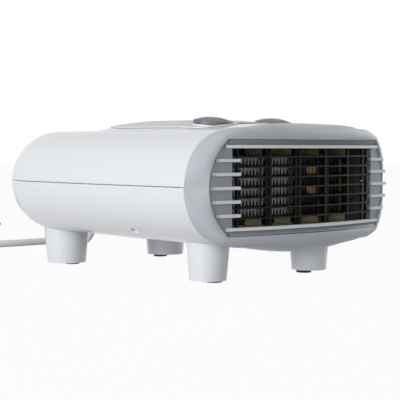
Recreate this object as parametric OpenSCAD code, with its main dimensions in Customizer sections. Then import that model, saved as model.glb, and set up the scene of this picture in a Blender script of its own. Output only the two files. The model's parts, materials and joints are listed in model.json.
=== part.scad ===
// Flat fan heater: two white half shells with half-round flanks, a grey front surround with two lips,
// a finned front frame, a black inner grille, a ribbon element, an axial fan and two domed knobs.
// Seen from the front, +X is to the right, +Y points to the rear and +Z is up.
// The origin is on the floor below the middle of the heater, measured without its cord.

/* [Casing] */
// Height of the casing's mid line above the floor
mid_z = 83.5; // [78:0.5:90]
// Radius of the half-round flanks and of the rear
flank_r = 47.5; // [45:0.5:50]
// Half of the greatest width
half_w = 132; // [128:0.5:138]
// Radius of the flanks' bulge in plan
bulge_r = 1680; // [1300:10:2400]
// Place along the length where the casing is widest
widest_y = 15; // [-10:1:30]
// Rear end of the casing
rear_y = 155; // [150:1:165]
// How much the rear corners' radius in plan exceeds the flanks' radius
corner_over = 7.5; // [4.5:0.5:12]
// Plane where the shells end and the front surround begins
split_y = -123.5; // [-126:0.5:-121]
// Wall of the shells
wall = 2.6; // [2:0.1:3.2]
// Width of the parting line between the shells
parting_gap = 0.5; // [0.3:0.1:0.8]

/* [Crown] */
// Rise of the top crown above the flanks' top
crown_over = 9.6; // [8:0.1:10.5]
// Radius of the top crown across the heater
crown_r = 332; // [310:1:360]
// Radius in which the crown falls to the rear
crown_rear_r = 212; // [190:1:240]
// Radius in which the crown falls to the front
crown_front_r = 500; // [450:5:600]
// Front end of the crown's level stretch
crown_y0 = -20; // [-30:1:-10]
// Rear end of the crown's level stretch
crown_y1 = 35; // [25:1:45]
// Rise of the brow, which meets the front surround, above the flanks' top
brow_over = 6.4; // [5:0.1:7]
// Radius of the brow across the heater
brow_r = 400; // [380:5:420]
// Depth of the belly below the flanks' lowest line
belly_over = 9.5; // [8:0.1:10.5]
// Radius of the belly across the heater
belly_r = 300; // [280:5:310]
// Rear end of the belly's level stretch
belly_y1 = 40; // [30:1:50]

/* [Front] */
// Foremost point of the lips
nose_y = -155; // [-157:0.5:-153]
// Radius of the lips in plan
nose_r = 350; // [330:5:380]
// Half height of the front opening between the lips
lip_z = 39.5; // [38:0.1:41]
// Radius of the front opening's round sides
side_r = 55; // [52:0.5:58]
// Width of the surround beside the front opening, seen from the front
side_inset = 21; // [19:0.5:23]
// Swelling of the upper lip beyond the line between its two edges
brow_swell = 3.6; // [0:0.1:4]
// Swelling of the lower lip beyond the line between its two edges
chin_swell = 3; // [0:0.1:4]
// Thickness of the lips' front edge
lip_t = 3; // [2:0.1:4]
// Foremost point of the frame's face
face_y = -148; // [-149:0.25:-147]
// Radius of the frame's face in plan
face_r = 520; // [480:5:560]
// Thickness of the frame's face
face_t = 2.6; // [2:0.1:3.4]
// Half width of the outlet
outlet_x = 88.6; // [84:0.2:90]
// Rear edge of the outlet's side walls
reveal_y = -130.4; // [-132:0.2:-129]
// Distance between the fins
fin_pitch = 11.18; // [10.8:0.02:11.4]
// Number of short fins on each side
fin_count = 5; // [5:1:5]
// Thickness of a fin
fin_t = 2.6; // [2:0.1:3.2]
// Inner end of the short fins
fin_x = 83.3; // [80:0.1:86]
// Foremost point of the two long fins
fin_y = -152.7; // [-154:0.1:-151]

/* [Grille] */
// Foremost point of the inner grille
grille_y = -149.5; // [-150.5:0.25:-149]
// Radius of the inner grille in plan
grille_r = 400; // [380:5:460]
// Depth of the grille's bars
grille_d = 2.6; // [2:0.1:3.5]
// Thickness of the level bars
bar_t = 1.3; // [1:0.1:1.8]
// Distance between the level bars
bar_pitch = 8.4; // [7.8:0.1:9]
// Distance between the upright bars
upright_pitch = 33; // [30:0.5:34]
// Thickness of the upright bars
upright_t = 2; // [1.4:0.1:3]

/* [Feet] */
// Distance of the feet from the middle
foot_x = 65; // [60:0.5:70]
// Place of the front feet
foot_y0 = -87; // [-92:1:-80]
// Place of the rear feet
foot_y1 = 118; // [110:1:120]
// Radius of the front feet at the bottom
foot_r0 = 16.2; // [15:0.1:18]
// Radius of the rear feet at the bottom
foot_r1 = 19; // [17:0.1:20]
// Growth of a foot's radius in one millimetre of height
foot_slope = 0.085; // [0.05:0.005:0.1]
// Distance of the pads from the middle
pad_x = 58; // [54:0.5:62]
// Radius of a pad
pad_r = 7; // [6:0.1:8]
// Height of a pad
pad_h = 2.5; // [2:0.1:3.5]

/* [Knobs] */
// Distance of the knobs from the middle
knob_x = 39; // [36:0.5:42]
// Place of the knobs along the length
knob_y = -65; // [-70:1:-60]
// Depth of the knobs' seat below the crown's top
seat_drop = 3.9; // [3.1:0.1:4.6]
// Forward tilt of the knobs
knob_tilt = 5.2; // [3:0.1:8]
// Radius of a knob
knob_r = 17.5; // [16:0.1:19]
// Height of a knob's rim
knob_rim = 3.2; // [2.5:0.1:4]
// Height of a knob's dome above its rim
knob_dome = 3.4; // [2.5:0.1:4.5]
// Diameter of the control shafts
control_d = 6; // [5:0.1:7]

/* [Top panel] */
// Half width of the top panel
panel_x = 68; // [60:0.5:69]
// Front end of the top panel
panel_y0 = -100; // [-104:1:-92]
// Rear end of the top panel
panel_y1 = 88; // [75:1:92]
// Thickness of the top panel
panel_t = 1; // [0.8:0.1:1.6]
// Gap under the top panel
panel_gap = 0.3; // [0.25:0.05:0.4]

/* [Fan and motor] */
// Radius of the fan wheel
fan_r = 44; // [40:0.5:44.5]
// Length of the fan wheel along its shaft
fan_len = 20; // [16:0.5:22]
// Number of fan blades
blade_count = 5; // [4:1:7]
// Pitch of the blades
blade_pitch = 32; // [25:1:38]
// Plane of the shroud's front face
shroud_y = -50; // [-50:0.1:-49.6]
// Thickness of the shroud
shroud_t = 2; // [1.5:0.1:2.5]
// Gap between fan and throat
tip_gap = 2; // [1.5:0.1:2.5]
// Diameter of the motor shaft
motor_d = 3.2; // [3:0.1:4]
// Running gap round the motor shaft
run_gap = 0.05; // [0.03:0.01:0.08]
// Length of the laminated stack
stack_len = 22; // [18:0.5:24]
// Radius of the rotor
rotor_r = 11.5; // [10:0.1:12]

/* [Element] */
// Half width of the element box
box_x = 91; // [89:0.5:92]
// Half height of the element box
box_z = 37; // [36:0.5:38]
// Front edge of the element box
box_y0 = -127; // [-128:0.5:-126]
// Rear edge of the element box
box_y1 = -92; // [-96:0.5:-90]
// Number of ribbon rows
row_count = 6; // [4:1:6]
// Distance between the ribbon rows
row_pitch = 8.8; // [8.4:0.1:9]
// Width of the ribbon
ribbon_w = 8; // [6:0.5:9]
// Height of the ribbon's crimp
crimp_h = 5.6; // [4:0.1:6]
// Length of one crimp
crimp_len = 5; // [4:0.5:8]

/* [Cord] */
// Diameter of the cord
cord_d = 8; // [7.4:0.1:8.2]
// Place of the cord outlet across the heater
outlet_cx = 55; // [52:0.5:58]
// Height of the cord outlet
outlet_cz = 52; // [50:0.5:54]
// Length of the strain relief outside the casing
relief_len = 42; // [36:1:44]

/* [Hidden] */
$fn = 64;
eps = 0.01;
fit = 0.3;
far = 400;
seam_z = mid_z + 0.8;
crown_rise = flank_r + crown_over;
brow_rise = flank_r + brow_over;
belly_drop = flank_r + belly_over;
corner_r = flank_r + corner_over;
side_x = half_w - side_inset;
knob_seat = crown_rise - seat_drop;
inner_r = flank_r - wall;

white = [0.93, 0.94, 0.96];
pale_grey = [0.79, 0.80, 0.82];
mid_grey = [0.66, 0.68, 0.71];
knob_grey = [0.45, 0.46, 0.48];
near_black = [0.08, 0.08, 0.09];
steel = [0.72, 0.73, 0.75];
mica = [0.78, 0.74, 0.62];
ribbon_grey = [0.55, 0.54, 0.52];
brass = [0.80, 0.66, 0.36];
copper = [0.72, 0.42, 0.25];

// Plan of the casing: a bulged flank, a rear corner and a straight rear end.
flank_cx = half_w - bulge_r;
corner_cy = rear_y - corner_r;
corner_cx = flank_cx + sqrt(pow(bulge_r - corner_r, 2) - pow(corner_cy - widest_y, 2));
edge_reach = corner_r - flank_r;
function half_width(y) = flank_cx + sqrt(bulge_r * bulge_r - pow(y - widest_y, 2));

// Heights above or below the mid line, with the surface drawn in by inset.
function arc_height(x, inset, rise, r) = rise - r + sqrt(pow(r - inset, 2) - x * x);
function fallen(h, run, rise, fall_r) = rise - fall_r + sqrt(max(0, pow(fall_r - rise + h, 2) - run * run));
function top_height(x, y, inset) = let (h = arc_height(x, inset, crown_rise, crown_r)) max(flank_r - inset,
    y > crown_y1 ? fallen(h, y - crown_y1, crown_rise, crown_rear_r) :
    y > crown_y0 ? h : max(fallen(h, y - crown_y0, crown_rise, crown_front_r), arc_height(x, inset,
        brow_rise, brow_r)));
function low_height(x, y, inset) = let (h = arc_height(x, inset, belly_drop, belly_r)) max(flank_r - inset,
    y > belly_y1 ? fallen(h, y - belly_y1, belly_drop, crown_rear_r) : h);
// Place across the heater where a crown meets the level shoulder beside it.
least_crease = 6;
function crease(h, inset, rise, r) = sqrt(max(least_crease * least_crease, pow(r - inset, 2) - pow(h +
    r - rise, 2)));
function crease_after(run, inset, rise, r, fall_r) =
    crease(sqrt(pow(flank_r - inset - rise + fall_r, 2) + run * run) - fall_r + rise, inset, rise, r);
function top_crease(y, inset) = y > crown_y1 ? crease_after(y - crown_y1, inset, crown_rise, crown_r,
    crown_rear_r) :
    y > crown_y0 ? crease(flank_r - inset, inset, crown_rise, crown_r) :
    max(crease_after(y - crown_y0, inset, crown_rise, crown_r, crown_front_r), crease(flank_r - inset,
        inset, brow_rise, brow_r));
function low_crease(y, inset) = y > belly_y1 ? crease_after(y - belly_y1, inset, belly_drop, belly_r,
    crown_rear_r) :
    crease(flank_r - inset, inset, belly_drop, belly_r);

// A shell is one closed net. Its rows run across the heater from rim to rim, from the front to the rear
// corners, and the middle of the last row then turns down over the round rear end.
row_places = [split_y, -100, -78, -72, -66, -48, -20, 35, 57, 79, corner_cy];
flank_rows = len(row_places) - 1;
corner_rows = 6;
edge_cols = 7;
shoulder_cols = 1;
crown_cols = 5;
row_last = flank_rows + corner_rows;
half_cols = edge_cols + shoulder_cols + crown_cols;
cols = 2 * half_cols + 1;
in_first = edge_cols;
in_last = cols - 1 - edge_cols;
rear_cols = in_last - in_first - 1;
function rim_point(i) = i <= flank_rows ? [half_width(row_places[i]), row_places[i]] :
    [corner_cx, corner_cy] + corner_r * rim_way(i);
function rim_way(i) = i <= flank_rows ? [1, 0] : let (b = 90 * (i - flank_rows) / corner_rows) [cos(b),
    sin(b)];
function edge_point(i, k, inset, lift) = let (r = flank_r - inset, a0 = asin(lift / r), a = a0 +
    (90 - a0) * k / edge_cols,
    q = rim_point(i) - rim_way(i) * (inset + r * (1 - cos(a)))) [q[0], q[1], r * sin(a)];
function level_point(i, q, inset, low) = let (s = edge_point(i, edge_cols, inset, 0),
    c = min(s[0] - 2, low ? low_crease(s[1], inset) : top_crease(s[1], inset)),
    x = q <= shoulder_cols ? s[0] + (c - s[0]) * q / shoulder_cols :
        c * (1 - (q - shoulder_cols) / crown_cols))
    [x, s[1], low ? low_height(x, s[1], inset) : top_height(x, s[1], inset)];
function half_point(i, j, inset, lift, low) = j <= edge_cols ? edge_point(i, j, inset, lift) :
    level_point(i, j - edge_cols, inset, low);
function shell_point(i, j, inset, lift, low) = j <= half_cols ?
    let (p = half_point(i, j, inset, lift, low)) [-p[0], p[1], p[2]] : half_point(i, cols - 1 - j, inset,
        lift, low);
function rear_point(k, j, inset, lift, low) = let (x = shell_point(row_last, j, inset, lift, low)[0],
    e = edge_point(row_last, edge_cols - k, inset, lift)) [x, e[1], e[2]];
function shell_points(inset, lift, low) = concat(
    [for (i = [0:row_last], j = [0:cols - 1]) shell_point(i, j, inset, lift, low)],
    [for (k = [1:edge_cols], j = [in_first + 1:in_last - 1]) rear_point(k, j, inset, lift, low)]);
function at(i, j) = i * cols + j;
function at_rear(k, j) = k == 0 ? at(row_last, j) : j == in_first ? at(row_last, in_first - k) :
    j == in_last ? at(row_last, in_last + k) : (row_last + 1) * cols + (k - 1) * rear_cols + j - in_first - 1;
function quad(a, b, c, d) = [[a, d, c], [a, c, b]];
rim_loop = concat([for (j = [0:cols - 1]) at(0, j)], [for (i = [1:row_last]) at(i, cols - 1)],
    [for (j = [in_last - 1:-1:in_first + 1]) at_rear(edge_cols, j)], [for (i = [row_last:-1:1]) at(i, 0)]);
module shell(low, lift) {
    outer = shell_points(0, lift, low);
    inner = shell_points(wall, lift, low);
    skin_faces = concat(
        [for (i = [0:row_last - 1], j = [0:cols - 2]) each quad(at(i, j), at(i, j + 1), at(i + 1, j + 1),
            at(i + 1, j))],
        [for (k = [0:edge_cols - 1], j = [in_first:in_last - 1])
            each quad(at_rear(k, j), at_rear(k, j + 1), at_rear(k + 1, j + 1), at_rear(k + 1, j))]);
    n = len(outer);
    m = len(rim_loop);
    rim_faces = [for (k = [0:m - 1]) let (a = rim_loop[k], b = rim_loop[(k + 1) % m])
        each [[a, b, b + n], [a, b + n, a + n]]];
    polyhedron(points = concat(outer, inner), faces = concat(skin_faces,
        [for (f = skin_faces) [f[2] + n, f[1] + n, f[0] + n]], rim_faces), convexity = 8);
}
rim_lift_top = seam_z + parting_gap / 2 - mid_z;
rim_lift_low = mid_z - seam_z + parting_gap / 2;

// The plan's outline, drawn in by inset, for what stands inside the rim.
module plan_form(inset) {
    right = [for (i = [1:row_last]) rim_point(i) - rim_way(i) * inset];
    polygon(concat(right, [for (i = [len(right) - 1:-1:0]) [-right[i][0], right[i][1]]]));
}

// A straight section across the heater: two round flanks and two crowns.
module section(half, inset, rise, drop) {
    r = flank_r - inset;
    square([2 * (half - flank_r), 2 * r], center = true);
    for (s = [-1, 1]) translate([s * (half - flank_r), 0]) circle(r, $fn = 128);
    intersection() {
        translate([0, rise - brow_r]) circle(brow_r - inset, $fn = 360);
        translate([-crown_x, 0]) square([2 * crown_x, rise]);
    }
    intersection() {
        translate([0, belly_r - drop]) circle(belly_r - inset, $fn = 360);
        translate([-crown_x, -drop]) square([2 * crown_x, drop]);
    }
}
crown_x = 76;
module section_run(y0, y1, half, inset, rise, drop) {
    translate([0, y1, mid_z]) rotate([90, 0, 0]) linear_extrude(y1 - y0) section(half, inset, rise, drop);
}

// Screws that join the shells: a pair in the flanks and a pair at the rear, each with its bosses' half
// height.
front_boss = flank_r - 14;
rear_boss = flank_r - 8;
screw_places = [for (s = [1, -1]) each [[s * 110, -43, front_boss], [s * 30, 126, rear_boss]]];
boss_r = 4.5;
screw_r = 1.5;
screw_hole_r = screw_r + 0.2;
head_r = 2.9;
head_h = 2.4;
head_z = 55;

// The knobs' own frame: origin on the seat, z along the tilted shaft.
module at_knob(side) {
    translate([side * knob_x, knob_y, mid_z + knob_seat]) rotate([knob_tilt, 0, 0]) children();
}
plinth_r = knob_r + 1;
hub_r = 5.6;
hub_len = 7;
hub_hole_r = hub_r + 0.8;
bracket_drop = 14;
bracket_t = 1.5;

seat_cut = 12;
module upper_casing() color(white) {
    difference() {
        union() {
            translate([0, 0, mid_z]) shell(false, rim_lift_top);
            for (p = screw_places) translate([p[0], p[1], mid_z + rim_lift_top])
                cylinder(r = boss_r, h = p[2] - rim_lift_top);
            // Posts that carry the control bracket.
            for (p = bracket_posts) at_bracket(p[0]) translate([0, 0, -bracket_drop])
                cylinder(r = post_r, h = bracket_drop + p[1]);
            for (side = [-1, 1]) at_knob(side) translate([0, 0, -wall - 2])
                cylinder(r = plinth_r, h = wall + 2);
            // Ribs that hold the element box from above.
            for (s = [-1, 1]) translate([s * rib_x - rib_t / 2, rib_y0, mid_z + box_z + rib_gap])
                cube([rib_t, rib_len, rib_h]);
        }
        for (p = screw_places) translate([p[0], p[1], mid_z - eps]) cylinder(r = screw_hole_r, h = 18);
        for (p = bracket_posts) at_bracket(p[0]) translate([0, 0, -bracket_drop - eps])
            cylinder(r = screw_hole_r, h = 10);
        for (side = [-1, 1]) at_knob(side) {
            translate([0, 0, -seat_cut]) cylinder(r = hub_hole_r, h = 2 * seat_cut);
            cylinder(r = plinth_r, h = seat_cut);
        }
    }
}

// The top panel lies on the crown as a thin skin with a round rear end. It too is one closed net.
panel_rows = 9;
panel_arc_rows = 8;
panel_cols = 14;
panel_last = panel_rows + panel_arc_rows;
arc_y = panel_y1 - panel_x;
function panel_row(i) = i <= panel_rows ? [panel_x, panel_y0 + (arc_y - panel_y0) * i / panel_rows] :
    let (a = 87 * (i - panel_rows) / panel_arc_rows) [panel_x * cos(a), arc_y + panel_x * sin(a)];
function panel_points(lift) = [for (i = [0:panel_last], j = [0:panel_cols]) let (r = panel_row(i), x =
    r[0] * (2 * j / panel_cols - 1))
    [x, r[1], top_height(x, r[1], -lift)]];
module panel_net() {
    w = panel_cols + 1;
    n = w * (panel_last + 1);
    skin_faces = [for (i = [0:panel_last - 1], j = [0:panel_cols - 1]) let (a = i * w + j) each quad(a, a +
        1, a + w + 1, a + w)];
    loop = concat([for (j = [0:panel_cols]) j], [for (i = [1:panel_last]) i * w + panel_cols],
        [for (j = [panel_cols - 1:-1:0]) panel_last * w + j], [for (i = [panel_last - 1:-1:1]) i * w]);
    m = len(loop);
    rim_faces = [for (k = [0:m - 1]) let (a = loop[k], b = loop[(k + 1) % m]) each [[a, b, b + n], [a, b +
        n, a + n]]];
    polyhedron(points = concat(panel_points(panel_gap + panel_t), panel_points(panel_gap)), faces =
        concat(skin_faces,
        [for (f = skin_faces) [f[2] + n, f[1] + n, f[0] + n]], rim_faces), convexity = 6);
}
module top_panel() color(pale_grey) difference() {
    translate([0, 0, mid_z]) panel_net();
    for (side = [-1, 1]) at_knob(side) translate([0, 0, -20]) cylinder(r = plinth_r + 0.2, h = 40);
}

// A tapered foot of height h, and the hollow that opens it to the inside.
module foot(x, y, r, h) {
    translate([x, y, pad_h]) cylinder(r1 = r, r2 = r + foot_slope * h, h = h);
}
module foot_core(x, y, r, h) {
    translate([x, y, pad_h + wall]) cylinder(r1 = r - wall, r2 = r - wall + foot_slope * h, h = h);
}
foot_reach = mid_z - flank_r - pad_h;
front_bite = 2;
rear_bite = 14;
foot_list = [for (s = [-1, 1]) each [[s * foot_x, foot_y0, foot_r0, foot_reach + front_bite],
    [s * foot_x, foot_y1, foot_r1, foot_reach + rear_bite]]];
stud_r = 2.5;
stud_h = 1.6;

// Slots in the underside, below the fan and the motor.
slot_count = 9;
slot_pitch = 8;
slot_w = 3.6;
slot_len = 42;
slot_y = 20;

relief_hole_r = 6.2;
flange_r = relief_hole_r + 2;
saddle_w = 34;
saddle_y0 = 104;
saddle_y1 = 118;
saddle_y = (saddle_y0 + saddle_y1) / 2;
clamp_screw_x = 11;
block_x = 8;
block_y = 84;
block_size = [30, 15, 13];
block_z = 44;
rail_x = 72;
rib_x = 60;
rib_t = 3;
rib_gap = 0.2;
rib_y0 = box_y0 + 11;
rib_len = box_y1 - box_y0 - 14;
rib_h = flank_r - box_z;

floor_in = mid_z - belly_drop;
module lower_casing() color(white) {
    difference() {
        union() {
            difference() {
                union() {
                    translate([0, 0, mid_z]) mirror([0, 0, 1]) shell(true, rim_lift_low);
                    for (f = foot_list) foot(f[0], f[1], f[2], f[3]);
                }
                for (f = foot_list) foot_core(f[0], f[1], f[2], f[3]);
            }
            // Tongue that stands up inside the upper shell.
            translate([0, 0, seam_z - 7]) linear_extrude(6) difference() {
                plan_form(wall - 0.5);
                plan_form(wall + 1.8);
            }
            translate([0, 0, seam_z - 1.5]) linear_extrude(4.5) difference() {
                plan_form(wall + 0.6);
                plan_form(wall + 1.8);
            }
            for (p = screw_places) translate([p[0], p[1], mid_z - p[2]])
                cylinder(r = boss_r, h = p[2] - rim_lift_low);
            // Saddle under the cord and two posts under the terminal block.
            translate([outlet_cx - saddle_w / 2, saddle_y0, mid_z - flank_r + 1])
                cube([saddle_w, saddle_y1 - saddle_y0, outlet_cz - cord_d / 2 - 0.2 - mid_z + flank_r - 1]);
            for (s = [-1, 1]) translate([block_x + s * 11, block_y, floor_in + 6])
                cylinder(r = 3.4, h = block_z - floor_in - 6);
            // Ribs under the element box.
            for (s = [-1, 1]) translate([s * rib_x - rib_t / 2, rib_y0, mid_z - box_z - rib_gap - rib_h])
                cube([rib_t, rib_len, rib_h]);
            // Rails that hold the shroud.
            for (s = [-1, 1], y = [shroud_y - 2 - 0.2, shroud_y + shroud_t + 0.2])
                translate([s * rail_x - 4, y, mid_z - flank_r + 1]) cube([8, 2, 11]);
        }
        for (p = screw_places) {
            translate([p[0], p[1], mid_z - flank_r]) cylinder(r = head_r + 0.4, h = head_z - mid_z + flank_r);
            translate([p[0], p[1], head_z - 1]) cylinder(r = screw_hole_r, h = mid_z);
        }
        for (x = [-1, 1]) {
            translate([outlet_cx + x * clamp_screw_x, saddle_y, outlet_cz - cord_d / 2 - 9])
                cylinder(r = screw_hole_r, h = 12);
            translate([block_x + x * 11, block_y, block_z - 8]) cylinder(r = screw_hole_r, h = 10);
        }
        for (s = [-1, 1], y = [foot_y0, foot_y1]) translate([s * pad_x, y, pad_h - eps])
            cylinder(r = stud_r + 0.1, h = stud_h + 0.2);
        for (k = [0:slot_count - 1]) translate([(k - (slot_count - 1) / 2) * slot_pitch - slot_w / 2,
            slot_y - slot_len / 2, floor_in - 4])
            cube([slot_w, slot_len, 16]);
        translate([outlet_cx, rear_y - 32, outlet_cz]) rotate([-90, 0, 0])
            cylinder(r = relief_hole_r, h = 50);
        // Room for the cord and for the strain relief's flange above the rear foot.
        translate([outlet_cx, saddle_y0 - 10, outlet_cz]) rotate([-90, 0, 0])
            cylinder(r = cord_d / 2 + 0.5, h = 9.9);
        translate([outlet_cx, relief_y0 - 0.5, outlet_cz]) rotate([-90, 0, 0])
            cylinder(r = flange_r + 0.4, h = 5);
    }
}

// Front surround: a ring whose skin runs from the shells' section to the edge of the front opening.
// Every station of the ring lies on one ray from the middle, so all outlines are given as radial lengths.
ray_n1 = 7;
ray_n2 = 13;
ray_a = 54;
function ray_dir(a) = [half_w * cos(a), crown_rise * sin(a)];
opening_corner_x = side_x - side_r + sqrt(side_r * side_r - lip_z * lip_z);
corner_ray = atan2(lip_z / crown_rise, opening_corner_x / half_w);
quadrant = concat([for (k = [0:ray_n1 - 1]) corner_ray * k / ray_n1],
    [for (k = [0:ray_n2 - 1]) corner_ray + (90 - corner_ray) * k / ray_n2]);
ray_angles = concat(quadrant, [for (k = [len(quadrant):-1:1]) 180 - (k == len(quadrant) ? 90 : quadrant[k])],
    [for (a = quadrant) 180 + a], [for (k = [len(quadrant):-1:1]) 360 - (k == len(quadrant) ? 90 :
        quadrant[k])]);
// Length along ray d at which it leaves a circle of radius r centred on c.
function leave(d, c, r) = let (dd = d * d, cd = c * d) (cd + sqrt(max(0,
    cd * cd - dd * (c * c - r * r)))) / dd;
function band(d, z) = z / max(abs(d[1]), 0.001);
split_half = half_w - pow(split_y - widest_y, 2) / (2 * bulge_r);
function stadium(d, inset) = let (x = split_half - flank_r, t = band(d, flank_r - inset),
    q = [abs(d[0]), abs(d[1])]) (t * q[0] <= x ? t : leave(q, [x, 0], flank_r - inset));
function crown_ray(d, rise, r, inset) = min(leave([d[0], abs(d[1])], [0, rise - r], r - inset),
    crown_x / max(abs(d[0]), 0.001));
function outline_back(d, inset) = max(stadium(d, inset),
    d[1] < 0 ? crown_ray(d, belly_drop, belly_r, inset) : crown_ray(d, brow_rise, brow_r, inset));
function outline_front(d) = let (t = band(d, lip_z))
    t * abs(d[0]) <= opening_corner_x ? t : leave([abs(d[0]), d[1]], [side_x - side_r, 0], side_r);
function nose_at(x) = nose_y + nose_r - sqrt(nose_r * nose_r - x * x);
// The skin's profile is a superellipse: straight on the flanks, full and upright at the lips.
function fullness(a) = 1 + 2 * pow(abs(sin(a)), 1.5);
// The lips swell most between their middle and their ends.
brow_window = [0.5, 0.45];
chin_window = [0.62, 0.32];
function window(a, w) = let (q = (abs(cos(a)) - w[0]) / w[1]) abs(q) < 1 ? pow(cos(90 * q), 2) : 0;
function swell(a) = sin(a) > 0 ? brow_swell * window(a, brow_window) : -chin_swell * window(a, chin_window);
skin_steps = 7;
ring_back = split_y - 0.2;
function skin(a, inset, back) = [for (k = [0:skin_steps]) let (
    v = 90 * k / skin_steps, d = ray_dir(a), p = 2 / fullness(a),
    f = outline_front(d), g = outline_back(d, inset),
    w = pow(cos(v), p), u = k == skin_steps ? 1 : pow(sin(v), p),
    t = f + (g - f) * (k == skin_steps ? 0 : w), y_edge = nose_at(f * d[0]) + back)
    [t * d[0], ring_back + (y_edge - ring_back) * u, mid_z + t * d[1] + swell(a) * sin(2 * v)]];
function reversed(list) = [for (k = [len(list) - 1:-1:0]) list[k]];
// Behind the skin a collar plugs into the shells.
collar_len = 6;
collar_out = wall + 0.7;
collar_in = wall + 2.4;
function collar_point(a, inset, y) = let (d = ray_dir(a), t = outline_back(d, inset)) [t * d[0],
    ring_back + y, mid_z + t * d[1]];
function ring_profile(a) = concat(skin(a, 0, 0), reversed(skin(a, collar_in, lip_t)),
    [collar_point(a, collar_in, collar_len), collar_point(a, collar_out, collar_len), collar_point(a,
        collar_out, 0)]);
module ring_skin() {
    profiles = [for (a = ray_angles) ring_profile(a)];
    n = len(profiles);
    m = len(profiles[0]);
    points = [for (p = profiles) each p];
    faces = [for (i = [0:n - 1], j = [0:m - 1]) let (i2 = (i + 1) % n, j2 = (j + 1) % m)
        each [[i * m + j, i2 * m + j, i2 * m + j2], [i * m + j, i2 * m + j2, i * m + j2]]];
    polyhedron(points = points, faces = faces, convexity = 8);
}
module front_surround() color(mid_grey) ring_skin();

// Front frame: a face bent in plan, an outlet with side walls, sloped strips under the lips, and the fins.
module opening_outline(gap) intersection() {
    square([2 * side_x, 2 * (lip_z - gap)], center = true);
    union() {
        square([2 * (side_x - side_r), 2 * lip_z], center = true);
        for (s = [-1, 1]) translate([s * (side_x - side_r), 0]) circle(side_r - gap, $fn = 128);
    }
}
// Half width of the frame's side wall at height z, taken in the middle of the wall.
function side_at(z) = side_x - side_r + sqrt(pow(side_r - fit - face_t / 2, 2) - z * z);
module plan_disc(front, r) { translate([0, front + r, 0]) cylinder(r = r, h = far / 2, $fn = 360); }
module flat_disc(front, r) { translate([0, front + r]) circle(r, $fn = 360); }
outlet_z = (fin_count + 1) * fin_pitch / 2 - fin_t / 2;
strip_z = outlet_z + fin_t;
front_reach = 30;
reveal_start = 9;
module front_frame() color(mid_grey) {
    intersection() {
        translate([0, reveal_y, mid_z]) rotate([90, 0, 0]) linear_extrude(front_reach) difference() {
            opening_outline(fit);
            square([2 * outlet_x, 2 * outlet_z], center = true);
        }
        difference() {
            plan_disc(face_y, face_r);
            plan_disc(face_y + face_t, face_r - face_t);
        }
    }
    // Rim behind the face, and the side walls of the outlet.
    intersection() {
        translate([0, reveal_y, mid_z]) rotate([90, 0, 0]) linear_extrude(front_reach) difference() {
            opening_outline(fit + 0.1);
            opening_outline(fit + face_t);
        }
        plan_disc(face_y + 1, face_r - 1);
    }
    for (s = [-1, 1]) translate([s * (outlet_x + face_t / 2) - face_t / 2, face_y + reveal_start,
        mid_z - strip_z])
        cube([face_t, reveal_y - face_y - reveal_start, 2 * strip_z]);
    // Sloped strips between the long fins and the lips.
    strip_a = asin(side_at(lip_z - fit) / face_r);
    for (s = [0, 1]) translate([0, face_y + face_r, mid_z]) mirror([0, 0, s]) rotate([0, 0, 270 - strip_a])
        rotate_extrude(angle = 2 * strip_a, $fn = 360)
            polygon([[face_r - 1, strip_z - 1], [face_r + 0.2, strip_z - 1], [face_r + 0.2, strip_z],
                [face_r + strip_out, lip_z - fit - 0.1], [face_r - 1, lip_z - fit - 0.1]]);
    // The two long fins, then the short ones.
    for (s = [-1, 1]) translate([0, 0, mid_z + s * (outlet_z + fin_t / 2) - fin_t / 2])
        linear_extrude(fin_t) intersection() {
        difference() {
            flat_disc(fin_y, long_fin_r);
            flat_disc(face_y + 1, face_r);
        }
        square([2 * side_at(strip_z), far], center = true);
    }
    for (s = [0, 1], k = [1:fin_count]) mirror([s, 0, 0])
        translate([0, 0, mid_z + fin_level(k) - fin_t / 2]) linear_extrude(fin_t) intersection() {
            difference() {
                flat_disc(short_fin_y, short_fin_r);
                flat_disc(grille_y - fit, grille_r);
            }
            translate([fin_x, -far]) square([side_at(abs(fin_level(k))) - fin_x, far]);
        }
}
strip_out = 3.2;
long_fin_r = 447;
short_fin_y = -149.1;
short_fin_r = 851;
function fin_level(k) = (k - (fin_count + 1) / 2) * fin_pitch;

bar_count = 7;
upright_count = 6;
grille_x = outlet_x - fit;
grille_z = outlet_z - fit;
module outlet_grille() color(near_black) {
    for (k = [0:bar_count - 1]) translate([0, 0, mid_z + (k - (bar_count - 1) / 2) * bar_pitch - bar_t / 2])
        linear_extrude(bar_t) grille_plan(grille_d, 2 * grille_x, 0);
    for (k = [0:upright_count - 1]) translate([0, 0, mid_z - grille_z])
        linear_extrude(2 * grille_z) grille_plan(grille_d - 0.3, upright_t,
            (k - (upright_count - 1) / 2) * upright_pitch);
}
module grille_plan(d, w, x) intersection() {
    difference() {
        flat_disc(grille_y + (grille_d - d) / 2, grille_r - (grille_d - d) / 2);
        flat_disc(grille_y + (grille_d + d) / 2, grille_r - (grille_d + d) / 2);
    }
    translate([x - w / 2, -far]) square([w, far]);
}

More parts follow.
